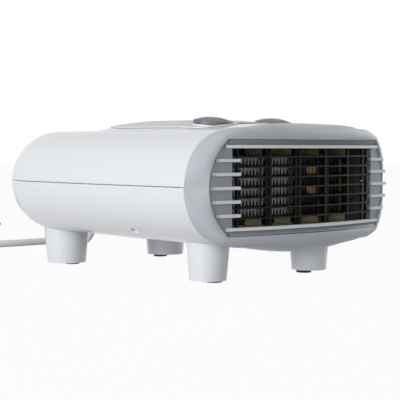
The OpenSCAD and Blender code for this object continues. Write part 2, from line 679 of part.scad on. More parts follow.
knob_bore_r = control_d / 2 + 0.05;
pointer_w = 2;
module knob() {
    dome_r = (knob_r * knob_r + knob_dome * knob_dome) / (2 * knob_dome);
    difference() {
        union() {
            intersection() {
                translate([0, 0, 0.5]) cylinder(r = knob_r, h = knob_rim + knob_dome);
                translate([0, 0, knob_rim + knob_dome - dome_r]) sphere(dome_r, $fn = 128);
            }
            translate([0, 0, -hub_len]) cylinder(r = hub_r, h = hub_len + 1);
        }
        // Hollow under the dome, round the hub.
        difference() {
            translate([0, 0, -eps]) cylinder(r = knob_r - 1.8, h = knob_rim - 0.6);
            translate([0, 0, -hub_len]) cylinder(r = hub_r, h = 2 * hub_len);
        }
        translate([0, 0, -hub_len - eps]) cylinder(r = knob_bore_r, h = hub_len + knob_rim);
        // Pointer groove that runs to the rim at the front.
        translate([-pointer_w / 2, -knob_r - 1, knob_rim + 0.2]) cube([pointer_w, knob_r * 0.55, knob_dome]);
    }
}
module selector_knob() color(knob_grey) at_knob(-1) knob();
module thermostat_knob() color(knob_grey) at_knob(1) knob();

module foot_pads() color(near_black) {
    for (s = [-1, 1], y = [foot_y0, foot_y1]) translate([s * pad_x, y, 0]) {
        cylinder(r = pad_r, h = pad_h);
        cylinder(r = stud_r, h = pad_h + stud_h);
    }
}

// A pan-head screw that points along +z, with its head below z = 0.
module screw(r, len, cap_r, cap_h) {
    difference() {
        union() {
            cylinder(r = r, h = len);
            translate([0, 0, -cap_h]) cylinder(r = cap_r, h = cap_h);
        }
        for (a = [0, 90]) rotate([0, 0, a]) translate([-cap_r * 0.6, -0.4, -cap_h - eps])
            cube([cap_r * 1.2, 0.8, cap_h * 0.5]);
    }
}
module casing_screws() color(steel)
    for (p = screw_places) translate([p[0], p[1], head_z]) screw(screw_r, 45, head_r, head_h);

// Element box: a sheet-metal sleeve that guides the air through the element.
sheet = 1;
module element_box() color(steel) difference() {
    translate([-box_x, box_y0, mid_z - box_z]) cube([2 * box_x, box_y1 - box_y0, 2 * box_z]);
    translate([-box_x + sheet, box_y0 - 1, mid_z - box_z + sheet])
        cube([2 * (box_x - sheet), box_y1 - box_y0 + 2, 2 * (box_z - sheet)]);
}
mica_t = 1;
board_x = box_x - sheet - 0.2;
board_y0 = box_y0 + 4;
board_y1 = box_y1 - 4;
ribbon_y = (board_y0 + board_y1) / 2;
upright_xs = [-29, 8, 45];
support_xs = concat([-board_x + 6], upright_xs, [board_x - 6]);
support_y0 = ribbon_y - ribbon_w / 2 - 1.6;
module mica_boards() color(mica) {
    for (s = [-1, 1]) translate([-board_x, board_y0, mid_z +
        s * (box_z - sheet - 0.2 - mica_t / 2) - mica_t / 2])
        cube([2 * board_x, board_y1 - board_y0, mica_t]);
    for (x = support_xs) difference() {
        translate([x - mica_t / 2, support_y0, mid_z - box_z + sheet + 0.4 + mica_t])
            cube([mica_t, board_y1 - support_y0, 2 * (box_z - sheet - 0.4 - mica_t)]);
        for (k = [0:row_count - 1]) translate([x - 1, ribbon_y - ribbon_w / 2 - 0.4,
            row_z(k) - crimp_h / 2 - 0.4])
            cube([2, ribbon_w + 0.8, crimp_h + 0.8]);
    }
}
upright_w = 8;
module element_uprights() color(near_black)
    for (x = upright_xs) translate([x - upright_w / 2, board_y0 - 1.4, mid_z - box_z + sheet + 0.2])
        cube([upright_w, 1.2, 2 * (box_z - sheet - 0.2)]);
function row_z(k) = mid_z - 1 + (k - (row_count - 1) / 2) * row_pitch;
ribbon_t = 0.4;
ribbon_x = 77.5;
module ribbon_row() {
    n = floor(2 * ribbon_x / crimp_len);
    h = crimp_h / 2 - ribbon_t;
    top = [for (k = [0:2 * n]) [-ribbon_x + k * crimp_len / 2, (k % 2 == 0 ? -h : h)]];
    polygon(concat([for (p = top) p + [0, ribbon_t]], [for (k = [2 * n:-1:0]) top[k] - [0, ribbon_t]]));
}
module heating_ribbon() color(ribbon_grey)
    for (k = [0:row_count - 1]) translate([0, ribbon_y + ribbon_w / 2, row_z(k)])
        rotate([90, 0, 0]) linear_extrude(ribbon_w) ribbon_row();
module element_tags() color(brass)
    for (k = [0:row_count / 2 - 1]) translate([ribbon_x + 0.3, ribbon_y - 3, row_z(2 * k) - 2])
        cube([2.4, 6, row_pitch + 4]);

module thermal_cutout() color(steel) translate([62, box_y1 + 0.2, mid_z + box_z - 16]) {
    rotate([-90, 0, 0]) cylinder(r = 7.5, h = 6);
    rotate([-90, 0, 0]) translate([0, 0, 6 - eps]) cylinder(r = 4, h = 3);
    translate([-5, 0, 0]) cube([10, 1, 16]);
}
module thermal_fuse() color(mica) {
    translate([-70, box_y1 + 3.2, mid_z + box_z - 8]) rotate([0, 90, 0]) cylinder(r = 2, h = 12);
    translate([-66, box_y1 + 0.2, mid_z + box_z - 8.5]) cube([4, 3, 8.5]);
}

bush_r = 5;
body_size = [30, 24, 15];
post_r = 4;
bracket_posts = [[-66, -5.9], [0, 0.7], [66, -5.9]];
module at_bracket(x) translate([x, knob_y, mid_z + knob_seat]) rotate([knob_tilt, 0, 0]) children();
module control_body() {
    difference() {
        union() {
            translate([-body_size[0] / 2, -body_size[1] / 2,
                -bracket_drop - bracket_t - body_size[2] - 0.2]) cube(body_size);
            translate([0, 0, -bracket_drop - bracket_t - 1]) cylinder(r = bush_r, h = bracket_t + 4);
        }
        translate([0, 0, -bracket_drop - bracket_t - 10]) cylinder(r = control_d / 2 + run_gap, h = 30);
    }
}
module control_shaft() translate([0, 0, -bracket_drop - bracket_t - 9])
    cylinder(d = control_d, h = bracket_drop + bracket_t + 11);
module selector_switch() color(near_black) at_knob(-1) {
    control_body();
    for (x = [-9, -3, 3, 9]) translate([x - 0.4, -3, -bracket_drop - bracket_t - body_size[2] - 6])
        cube([0.8, 5, 6]);
}
module selector_shaft() color(steel) at_knob(-1) control_shaft();
module thermostat() color(mica) at_knob(1) {
    control_body();
    for (x = [-8, 8]) translate([x - 0.4, -3, -bracket_drop - bracket_t - body_size[2] - 6])
        cube([0.8, 5, 6]);
}
module thermostat_shaft() color(steel) at_knob(1) control_shaft();
module control_bracket() color(steel)
    at_bracket(0) difference() {
        translate([-72, -12, -bracket_drop - bracket_t]) cube([144, 24, bracket_t - 0.1]);
        for (s = [-1, 1]) translate([s * knob_x, 0, -bracket_drop - 5]) cylinder(r = bush_r + 0.2, h = 10);
        for (p = bracket_posts) translate([p[0], 0, -bracket_drop - 5]) cylinder(r = screw_hole_r, h = 10);
    }
module control_screws() color(steel)
    for (p = bracket_posts) at_bracket(p[0]) translate([0, 0, -bracket_drop - bracket_t - 0.1])
        screw(screw_r, 9, 3, 1.8);

// Shroud: a wall across the casing with a round throat, and the posts that carry the motor.
throat_r = fan_r + tip_gap;
throat_t = 1.8;
motor_post_x = 57;
lead_hole = [92, -12];
strap_y = shroud_y + shroud_t + fan_len + 6;
module fan_shroud() color(near_black) difference() {
    union() {
        section_run(shroud_y, shroud_y + shroud_t, half_width(shroud_y), wall + 2.1, brow_rise, belly_drop);
        translate([0, shroud_y, mid_z]) rotate([-90, 0, 0]) cylinder(r = throat_r + throat_t, h = fan_len);
        for (s = [-1, 1]) translate([s * motor_post_x, shroud_y, mid_z]) rotate([-90, 0, 0])
            cylinder(r = post_r, h = strap_y - shroud_y);
    }
    translate([0, shroud_y - 1, mid_z]) rotate([-90, 0, 0]) cylinder(r = throat_r, h = fan_len + 2);
    for (s = [-1, 1]) translate([s * motor_post_x, strap_y - 12, mid_z]) rotate([-90, 0, 0])
        cylinder(r = screw_hole_r, h = 14);
    translate([lead_hole[0], shroud_y - 1, mid_z + lead_hole[1]]) rotate([-90, 0, 0])
        cylinder(r = 5, h = shroud_t + 2);
    for (s = [-1, 1], x = [rail_x]) translate([s * x - 4.2, shroud_y - 1, 0])
        cube([8.4, shroud_t + 2, mid_z - flank_r + wall + 2.1]);
}

fan_y = shroud_y + shroud_t + 2;
hub_wheel_r = 10;
blade_t = 1.6;
module fan_wheel() color(mid_grey) translate([0, fan_y, mid_z]) rotate([-90, 0, 0]) difference() {
    union() {
        cylinder(r = hub_wheel_r, h = fan_len);
        intersection() {
            cylinder(r = fan_r, h = fan_len);
            for (k = [0:blade_count - 1]) rotate([0, 0, 360 * k / blade_count]) translate([0, 0, fan_len / 2])
                rotate([90 - blade_pitch, 0, 0]) translate([hub_wheel_r - 2, -fan_len * 0.62, -blade_t / 2])
                    cube([fan_r, fan_len * 1.24, blade_t]);
        }
    }
    translate([0, 0, 2]) cylinder(r = motor_d / 2 + 0.02, h = fan_len);
}

stack_y0 = strap_y + 2 + 9;
stack_y1 = stack_y0 + stack_len;
bracket_gap = 9;
shaft_y0 = fan_y + 2.2;
shaft_y1 = stack_y1 + bracket_gap + 7;
module motor_shaft() color(steel) translate([0, shaft_y0, mid_z]) rotate([-90, 0, 0])
    cylinder(d = motor_d, h = shaft_y1 - shaft_y0);
module motor_rotor() color(ribbon_grey) difference() {
    translate([0, stack_y0, mid_z]) rotate([-90, 0, 0]) cylinder(r = rotor_r, h = stack_len);
    translate([0, stack_y0 - 1, mid_z]) rotate([-90, 0, 0])
        cylinder(r = motor_d / 2 + 0.02, h = stack_len + 2);
}
// Stack: a plate pack with the rotor's bore and a window, whose outer leg carries the coil.
leg_x = 10;
window_x = 16;
stack_x1 = rotor_r + 9;
stack_x0 = -rotor_r - 6 - window_x - leg_x;
stack_z = 24;
tie_z = 19.5;
module motor_stator() color(ribbon_grey) difference() {
    translate([stack_x0, stack_y0, mid_z - stack_z]) cube([stack_x1 - stack_x0, stack_len, 2 * stack_z]);
    translate([0, stack_y0 - 1, mid_z]) rotate([-90, 0, 0]) cylinder(r = rotor_r + 0.4, h = stack_len + 2);
    translate([stack_x0 + leg_x, stack_y0 - 1, mid_z - stack_z + leg_x])
        cube([window_x, stack_len + 2, 2 * (stack_z - leg_x)]);
    for (s = [-1, 1]) translate([0, stack_y0 - 1, mid_z + s * tie_z]) rotate([-90, 0, 0])
        cylinder(r = screw_hole_r, h = stack_len + 2);
}
bobbin_t = 1.2;
coil_t = 6.5;
module leg_sleeve(grow, z) {
    translate([stack_x0 - grow, stack_y0 - grow, mid_z - z])
        cube([leg_x + 2 * grow, stack_len + 2 * grow, 2 * z]);
}
bobbin_z = stack_z - leg_x - 0.3;
module motor_bobbin() color(near_black) difference() {
    union() {
        leg_sleeve(0.2 + bobbin_t, bobbin_z);
        for (s = [-1, 1]) translate([0, 0, s * (bobbin_z - bobbin_t / 2)]) leg_sleeve(0.2 + bobbin_t +
            coil_t, bobbin_t / 2);
    }
    leg_sleeve(0.2, bobbin_z + 1);
}
module motor_coil() color(copper) difference() {
    leg_sleeve(0.4 + bobbin_t + coil_t - 0.6, bobbin_z - bobbin_t - 0.2);
    leg_sleeve(0.4 + bobbin_t, bobbin_z);
}
cup_r = 5;
strap_w = 16;
module motor_bracket_front() color(steel) difference() {
    union() {
        translate([-motor_post_x - 6, strap_y + 0.1, mid_z - strap_w / 2])
            cube([2 * motor_post_x + 12, 2, strap_w]);
        translate([-strap_w / 2, strap_y + 0.1, mid_z - stack_z]) cube([strap_w, 2, 2 * stack_z]);
        for (s = [-1, 1]) translate([-strap_w / 2, strap_y + 1, mid_z + s * tie_z - 4])
            cube([strap_w, stack_y0 - strap_y - 1.1, 8]);
        translate([0, strap_y + 1, mid_z]) rotate([-90, 0, 0]) cylinder(r = cup_r + 2, h = 6);
    }
    translate([0, strap_y - 1, mid_z]) rotate([-90, 0, 0]) cylinder(r = cup_r + 0.05, h = 10);
    for (s = [-1, 1]) {
        translate([0, strap_y - 1, mid_z + s * tie_z]) rotate([-90, 0, 0]) cylinder(r = screw_hole_r, h = 20);
        translate([s * motor_post_x, strap_y - 1, mid_z]) rotate([-90, 0, 0])
            cylinder(r = screw_hole_r, h = 5);
    }
}
module motor_bracket_rear() color(steel) difference() {
    union() {
        translate([-strap_w / 2, stack_y1 + bracket_gap, mid_z - stack_z]) cube([strap_w, 2, 2 * stack_z]);
        for (s = [-1, 1]) translate([-strap_w / 2, stack_y1 + 0.1, mid_z + s * tie_z - 4])
            cube([strap_w, bracket_gap + 0.9, 8]);
        translate([0, stack_y1 + bracket_gap - 4, mid_z]) rotate([-90, 0, 0]) cylinder(r = cup_r + 2, h = 5);
    }
    translate([0, stack_y1 + bracket_gap - 6, mid_z]) rotate([-90, 0, 0]) cylinder(r = cup_r + 0.05, h = 10);
    for (s = [-1, 1]) translate([0, stack_y1 - 1, mid_z + s * tie_z]) rotate([-90, 0, 0])
        cylinder(r = screw_hole_r, h = 20);
}
module motor_bushes() color(brass)
    for (y = [strap_y + 0.3, stack_y1 + bracket_gap - 3.8]) translate([0, y, mid_z])
        rotate([-90, 0, 0]) difference() {
        cylinder(r = cup_r, h = 5.6);
        translate([0, 0, -1]) cylinder(r = motor_d / 2 + run_gap, h = 8);
    }
module motor_screws() color(steel)
    for (s = [-1, 1]) translate([0, stack_y1 + bracket_gap + 2.1, mid_z + s * tie_z]) rotate([90, 0, 0])
        screw(screw_r, stack_y1 + bracket_gap + 2.1 - strap_y, 2.8, 1.8);
module shroud_screws() color(steel)
    for (s = [-1, 1]) translate([s * motor_post_x, strap_y + 2.2, mid_z]) rotate([90, 0, 0])
        screw(screw_r, 11, 2.8, 1.8);

module terminal_block() color(white) difference() {
    translate([block_x - block_size[0] / 2, block_y - block_size[1] / 2, block_z + 0.1]) cube(block_size);
    for (s = [-1, 1]) translate([block_x + s * 11, block_y, block_z - 1])
        cylinder(r = screw_hole_r, h = block_size[2] + 2);
    for (x = [-5, 0, 5]) {
        translate([block_x + x, block_y - 20, block_z + 6]) rotate([-90, 0, 0]) cylinder(r = 1.6, h = 40);
        translate([block_x + x, block_y, block_z + 6]) cylinder(r = 1.5, h = block_size[2]);
    }
}
module terminal_screws() color(steel)
    for (s = [-1, 1]) translate([block_x + s * 11, block_y, block_z + block_size[2] + 0.2])
        rotate([180, 0, 0])
        screw(screw_r, block_size[2] + 6, 2.6, 1.6);

// Round tubes that follow a list of points: a ring on each point, square to the way the points run.
function unit(v) = v / norm(v);
function heading(pts, k) = unit(pts[min(k + 1, len(pts) - 1)] - pts[max(k - 1, 0)]);
function ring_at(c, t, r, sides) = let (e = unit(cross(t, [0, 0, 1])), f = cross(e, t))
    [for (j = [0:sides - 1]) c + r * (cos(360 * j / sides) * e + sin(360 * j / sides) * f)];
module tube(pts, r, sides, t0, t1) {
    n = len(pts);
    rings = [for (k = [0:n - 1]) ring_at(pts[k], k == 0 ? t0 : k == n - 1 ? t1 : heading(pts, k), r, sides)];
    polyhedron(points = [for (q = rings) each q],
        faces = concat([[for (j = [0:sides - 1]) j]], [[for (j = [sides - 1:-1:0]) (n - 1) * sides + j]],
            [for (k = [0:n - 2], j = [0:sides - 1]) let (a = k * sides + j, b = k * sides + (j + 1) % sides)
                each [[a, a + sides, b], [b, a + sides, b + sides]]]),
        convexity = 10);
}
// Points of a smooth curve through the route, steps to each stretch.
function curve_point(p0, p1, p2, p3, t) = 0.5 * ((2 * p1) + (p2 - p0) * t + (2 * p0 - 5 * p1 +
    4 * p2 - p3) * t * t
    + (3 * p1 - p0 - 3 * p2 + p3) * t * t * t);
function smooth(route, steps) = let (n = len(route)) concat([for (k = [0:n - 2], s = [0:steps - 1])
    curve_point(route[max(k - 1, 0)], route[k], route[k + 1], route[min(k + 2, n - 1)], s / steps)],
        [route[n - 1]]);

lead_r = 1.3;
lead_routes = [
    [[13, 91.7, 50], [13, 104, 52], [26, 112, 60], [60, 100, 66], [84, 60, 70], [90.4, 0, 71.5], [90.4,
        -49, 71.5],
        [89, -66, 80], [80, -78, 92], [62, -80, 98], [48, -72, 99]],
    [[8, 91.7, 50], [8, 107, 53], [26, 117, 64], [64, 104, 71], [88, 60, 74], [93.6, 0, 71.5], [93.6, -49,
        71.5],
        [93.6, -66, 80], [88, -80, 90], [80, -92, 88], [79, -100, 84.5], [79, -106.2, 84]],
    [[3, 91.7, 50], [2, 104, 54], [-14, 106, 66], [-34, 90, 74], [-40, 70, 78], [-40, 45, 82], [-38, 30,
        83.5], [-38, 19, 83.5]],
];
module internal_leads() color([0.75, 0.20, 0.15])
    for (route = lead_routes) tube(smooth(route, 3), lead_r, 6, unit(route[1] - route[0]),
        unit(route[len(route) - 1] - route[len(route) - 2]));

module cord_clamp() color(near_black) difference() {
    translate([outlet_cx - saddle_w / 2 + 2, saddle_y - 5, outlet_cz + cord_d / 2 - 3.4])
        cube([saddle_w - 4, 10, 6.4]);
    translate([outlet_cx, saddle_y - 6, outlet_cz]) rotate([-90, 0, 0])
        cylinder(r = cord_d / 2 + 0.1, h = 12);
    for (s = [-1, 1]) translate([outlet_cx + s * clamp_screw_x, saddle_y, outlet_cz - 5])
        cylinder(r = screw_hole_r, h = 20);
}
module cord_clamp_screws() color(steel)
    for (s = [-1, 1]) translate([outlet_cx + s * clamp_screw_x, saddle_y, outlet_cz + cord_d / 2 +
        3.1]) rotate([180, 0, 0])
        screw(screw_r, 14, 2.8, 1.8);

// Strain relief: a flange inside the shell, a neck in its hole and a tapered sleeve outside.
relief_y0 = corner_cy + edge_reach + sqrt(pow(inner_r, 2) - pow(mid_z - outlet_cz, 2)) - 16;
relief_y1 = corner_cy + edge_reach + sqrt(pow(flank_r, 2) - pow(mid_z - outlet_cz, 2)) + relief_len;
cord_r = cord_d / 2;
module strain_relief() color(pale_grey) translate([outlet_cx, 0, outlet_cz])
    rotate([-90, 0, 0]) difference() {
    union() {
        translate([0, 0, relief_y0]) cylinder(r = flange_r, h = 4);
        translate([0, 0, relief_y0]) cylinder(r = relief_hole_r - 0.2, h =
            relief_y1 - relief_len - relief_y0 + 9);
        translate([0, 0, relief_y1 - relief_len + 8])
            cylinder(r1 = relief_hole_r + 1.8, r2 = cord_r + 1.1, h = relief_len - 8);
    }
    translate([0, 0, relief_y0 - 1]) cylinder(r = cord_r + 0.1, h = relief_y1 - relief_y0 + 2);
}
module cord_inlet() color(pale_grey) translate([outlet_cx, saddle_y0 - 4, outlet_cz]) rotate([-90, 0, 0])
    cylinder(r = cord_r, h = relief_y1 - saddle_y0 + 4);

// Route of the free cord, from the strain relief to the coil. The cord lies on the floor at floor_z.
floor_z = 4.2;
cord_sides = 10;
cord_route = [
    [outlet_cx, relief_y1, outlet_cz], [outlet_cx, relief_y1 + 8, outlet_cz], [55.5, 206, 49], [57, 219,
        41.5], [60, 231, 31], [63, 243, 20.5],
    [67, 256, 11], [71, 270, 6], [73, 284, 4.3], [69, 298, 4.2], [58, 307, 4.2], [45, 311, 4.2],
    [31, 312, 4.2], [17, 312, 4.2], [3, 312.5, 4.2], [-11, 314, 4.2], [-25, 316, 4.3], [-40, 317.6, 4.8],
    [-47, 318, 5.1], [-55, 318, 5.2],
];
coil_c = [-55, 370.6];
coil_r = 52.6;
coil_turns = 4.5;
coil_pitch = 8.6;
coil_z = 5.2;
coil_sides = 6;
loop_rings = 24;
function climb(u) = u <= coil_turns / 2 - 0.25 ? 0 : u >= coil_turns / 2 + 0.25 ? 1 :
    0.5 - 0.5 * cos(360 * (u - coil_turns / 2 + 0.25));
function coil_point(u) = let (r = coil_r - coil_pitch * min(u, coil_turns - u), a = 270 - 360 * u)
    [coil_c[0] + r * cos(a), coil_c[1] + r * sin(a), coil_z + coil_pitch * climb(u)];
coil_points = [for (k = [0:coil_turns * loop_rings]) coil_point(k / loop_rings)];
end_point = coil_points[len(coil_points) - 1];
// The last stretch leaves the coil's upper layer straight on and reaches the plug.
plug_x = end_point[0] + 44;
plug_y = end_point[1] + 2;
plug_z = 19.2;
tail = [[end_point[0] + 10, end_point[1] + 0.5, end_point[2] + 0.3], [end_point[0] + 20, end_point[1] +
    1.4, end_point[2] + 2],
    [end_point[0] + 29, plug_y, plug_z - 0.5], [end_point[0] + 36, plug_y, plug_z], [plug_x, plug_y, plug_z]];
coil_path = concat([coil_points[0] + [8, 0, 0]], coil_points, tail);
module cord() color(pale_grey)
    tube(concat([for (k = [0:len(cord_route) - 2]) cord_route[k]], [coil_path[0]]), cord_r, cord_sides, [0,
        1, 0], [-1, 0, 0]);
module cord_coil() color(pale_grey) tube(coil_path, cord_r, coil_sides, [-1, 0, 0], [1, 0, 0]);

tie_t = 0.6;
tie_w = 6;
tie_gap = 0.4;
module cord_tie() color(near_black) {
    r_in = coil_r - coil_pitch * 1.75 - cord_r - tie_gap;
    r_out = coil_r - coil_pitch * 0.75 + cord_r + tie_gap;
    z0 = coil_z - cord_r - tie_gap;
    z1 = coil_z + coil_pitch + cord_r + tie_gap;
    translate([coil_c[0], coil_c[1] - tie_w / 2, 0]) difference() {
        translate([r_in - tie_t, 0, z0 - tie_t]) cube([r_out - r_in + 2 * tie_t, tie_w, z1 - z0 + 2 * tie_t]);
        translate([r_in, -1, z0]) cube([r_out - r_in, tie_w + 2, z1 - z0]);
    }
}

plug_r = 18.6;
pin_gap = 19;
pin_r = 2.4;
module plug() color(pale_grey) translate([plug_x, plug_y, plug_z]) rotate([0, 90, 0]) difference() {
    union() {
        cylinder(r1 = cord_r + 1.4, r2 = 8, h = 16);
        translate([0, 0, 15]) cylinder(r1 = 10, r2 = 16.4, h = 14);
        translate([0, 0, 29 - eps]) cylinder(r = plug_r, h = 12);
    }
    for (s = [-1, 1]) {
        translate([0, s * pin_gap / 2, 34]) cylinder(r = pin_r, h = 10);
        translate([s * (plug_r + 1), 0, 30]) translate([-3, -4, 0]) cube([6, 8, 14]);
    }
}
module plug_pins() color(steel) translate([plug_x, plug_y, plug_z]) rotate([0, 90, 0])
    for (s = [-1, 1]) translate([0, s * pin_gap / 2, 34]) {
        cylinder(r = pin_r, h = 24.5);
        translate([0, 0, 24.5]) cylinder(r1 = pin_r, r2 = pin_r - 1, h = 1.5);
    }

coil_gaps = [for (i = [0:3:len(coil_path) - 1], j = [i +
    12:1:len(coil_path) - 1]) norm(coil_path[i] - coil_path[j])];
echo(coil_least_gap = min(coil_gaps) - cord_d);

upper_casing();
lower_casing();
front_surround();
front_frame();
outlet_grille();
top_panel();
selector_knob();
thermostat_knob();
foot_pads();
casing_screws();
element_box();
mica_boards();
element_uprights();
heating_ribbon();
element_tags();
thermal_cutout();
thermal_fuse();
selector_switch();
selector_shaft();
thermostat();
thermostat_shaft();
control_bracket();
control_screws();
fan_shroud();
fan_wheel();
motor_shaft();
motor_rotor();
motor_stator();
motor_bobbin();
motor_coil();
motor_bracket_front();
motor_bracket_rear();
motor_bushes();
motor_screws();
shroud_screws();
terminal_block();
terminal_screws();
internal_leads();
cord_clamp();
cord_clamp_screws();
strain_relief();
cord_inlet();
cord();
cord_coil();
cord_tie();
plug();
plug_pins();
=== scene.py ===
# %% [markdown]
# A flat fan heater: a white casing in two shells, a grey front surround with an upper and a lower lip,
# a frame with fins round a black grille, and rows of crimped heating ribbon behind it.
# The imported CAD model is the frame. Every solid already has its place, in metres, with +Y to the rear.

# %% Load the frame
import json
import math

import bmesh
import bpy
from mathutils import Matrix, Vector


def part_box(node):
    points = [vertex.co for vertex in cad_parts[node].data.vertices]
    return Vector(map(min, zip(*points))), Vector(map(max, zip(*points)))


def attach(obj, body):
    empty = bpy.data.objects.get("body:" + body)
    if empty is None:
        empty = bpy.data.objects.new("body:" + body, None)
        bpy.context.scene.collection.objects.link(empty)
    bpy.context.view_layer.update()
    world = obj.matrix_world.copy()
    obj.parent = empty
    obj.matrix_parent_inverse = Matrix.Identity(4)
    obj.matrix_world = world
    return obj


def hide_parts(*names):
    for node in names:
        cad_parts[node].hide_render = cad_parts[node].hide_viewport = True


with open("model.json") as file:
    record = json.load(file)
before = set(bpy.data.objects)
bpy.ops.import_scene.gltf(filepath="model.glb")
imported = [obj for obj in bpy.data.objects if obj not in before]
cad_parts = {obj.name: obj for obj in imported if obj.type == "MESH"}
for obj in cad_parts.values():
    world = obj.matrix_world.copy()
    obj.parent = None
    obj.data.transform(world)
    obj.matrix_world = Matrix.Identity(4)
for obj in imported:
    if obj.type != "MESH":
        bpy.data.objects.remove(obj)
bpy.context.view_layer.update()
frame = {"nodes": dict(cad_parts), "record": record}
MM = 0.001
print("nodes:", len(frame["nodes"]))

# %% [markdown]
# The camera stands at the front left, a little above the middle of the outlet, and looks slightly down.
# Three axes give its turn: one to its right, one up, and one along its look.

# %% Camera
CAMERA_PLACE = (-0.72252, -0.78589, 0.11740)
CAMERA_TURN = -0.747607
CAMERA_DOWN = 0.048108
CAMERA_ROLL = 0.0023466
SENSOR = 36.0
FOCAL_PIXELS = 1120.18
FRAME_PIXELS = 400.0
CLIP_START = 0.02


def camera_axes(turn, down, roll):
    look = Vector((-math.sin(turn) * math.cos(down), math.cos(turn) * math.cos(down), -math.sin(down)))
    right = Vector((math.cos(turn), math.sin(turn), 0.0))
    up = right.cross(look)
    right_rolled = right * math.cos(roll) + up * math.sin(roll)
    up_rolled = up * math.cos(roll) - right * math.sin(roll)
    return right_rolled, up_rolled, look


camera_data = bpy.data.cameras.new("photo_camera")
camera_data.sensor_width = SENSOR
camera_data.lens = SENSOR * FOCAL_PIXELS / FRAME_PIXELS
camera_data.clip_start = CLIP_START
camera = bpy.data.objects.new("photo_camera", camera_data)
bpy.context.scene.collection.objects.link(camera)
right_axis, up_axis, look_axis = camera_axes(CAMERA_TURN, CAMERA_DOWN, CAMERA_ROLL)
turned = Matrix((right_axis, up_axis, -look_axis)).transposed().to_4x4()
camera.matrix_world = Matrix.Translation(CAMERA_PLACE) @ turned
bpy.context.scene.camera = camera
print("lens:", round(camera_data.lens, 2))

# %% [markdown]
# Each finish is one Principled material. Moulded plastic isn't quite even: a fine noise on Object
# coordinates moves its roughness a little and gives it a faint grain. A picture laid on the surface could do
# that too, but noise needs no unwrapping and has no seam.

# %% Finishes
GRAIN_DETAIL = 3.0
GRAIN_DEPTH = 0.2 * MM
ROUGHNESS_SPREAD, LEAST_ROUGHNESS = 0.03, 0.02
COAT_ROUGHNESS = 0.08


def linear(value):
    """From a screen value of 0 to 255 to a linear share, by the sRGB curve."""
    share = value / 255.0
    return share / 12.92 if share <= 0.04045 else ((share + 0.055) / 1.055) ** 2.4


def colour(red, green, blue):
    return (linear(red), linear(green), linear(blue), 1.0)


def add_math(tree, operation, *values):
    """A Math node: a socket is linked to its input, and a number is set on it."""
    node = tree.nodes.new("ShaderNodeMath")
    node.operation = operation
    for value, socket in zip(values, node.inputs):
        if isinstance(value, bpy.types.NodeSocket):
            tree.links.new(value, socket)
        else:
            socket.default_value = value
    return node.outputs["Value"]


def add_span(tree, value, low, high, to_low=0.0, to_high=1.0):
    """Carries a number between low and high over to one between to_low and to_high."""
    node = tree.nodes.new("ShaderNodeMapRange")
    for name, number in (("From Min", low), ("From Max", high), ("To Min", to_low), ("To Max", to_high)):
        node.inputs[name].default_value = number
    tree.links.new(value, node.inputs["Value"])
    return node.outputs["Result"]


def add_parts(tree, vector):
    node = tree.nodes.new("ShaderNodeSeparateXYZ")
    tree.links.new(vector, node.inputs["Vector"])
    return node.outputs


def object_place(tree):
    return tree.nodes.new("ShaderNodeTexCoord").outputs["Object"]


def colour_by(material, share, stops):
    """Colours a finish by a share: stops are (share, colour), of which the first is 0 and the last is 1."""
    tree = material.node_tree
    ramp = tree.nodes.new("ShaderNodeValToRGB")
    ramp.color_ramp.elements[0].color = stops[0][1]
    ramp.color_ramp.elements[1].color = stops[-1][1]
    for spot, shade in stops[1:-1]:
        ramp.color_ramp.elements.new(spot).color = shade
    tree.links.new(share, ramp.inputs["Fac"])
    tree.links.new(ramp.outputs["Color"], tree.nodes["Principled BSDF"].inputs["Base Color"])


def make_finish(name, shade, roughness, metallic=0.0, coat=0.0, grain=0.0, grain_size=900.0, shine=0.5):
    material = bpy.data.materials.new(name)
    material.use_nodes = True
    material.diffuse_color = shade
    tree = material.node_tree
    shader = tree.nodes["Principled BSDF"]
    shader.inputs["Base Color"].default_value = shade
    shader.inputs["Roughness"].default_value = roughness
    shader.inputs["Metallic"].default_value = metallic
    shader.inputs["Coat Weight"].default_value = coat
    shader.inputs["Specular IOR Level"].default_value = shine
    if grain:
        shader.inputs["Coat Roughness"].default_value = COAT_ROUGHNESS
        noise = tree.nodes.new("ShaderNodeTexNoise")
        noise.inputs["Scale"].default_value = grain_size
        noise.inputs["Detail"].default_value = GRAIN_DETAIL
        tree.links.new(object_place(tree), noise.inputs["Vector"])
        bump = tree.nodes.new("ShaderNodeBump")
        bump.inputs["Strength"].default_value = grain
        bump.inputs["Distance"].default_value = GRAIN_DEPTH
        tree.links.new(noise.outputs["Fac"], bump.inputs["Height"])
        tree.links.new(bump.outputs["Normal"], shader.inputs["Normal"])
        least = max(roughness - ROUGHNESS_SPREAD, LEAST_ROUGHNESS)
        most = min(roughness + ROUGHNESS_SPREAD, 1.0)
        spread = add_span(tree, noise.outputs["Fac"], 0.0, 1.0, least, most)
        tree.links.new(spread, shader.inputs["Roughness"])
    return material


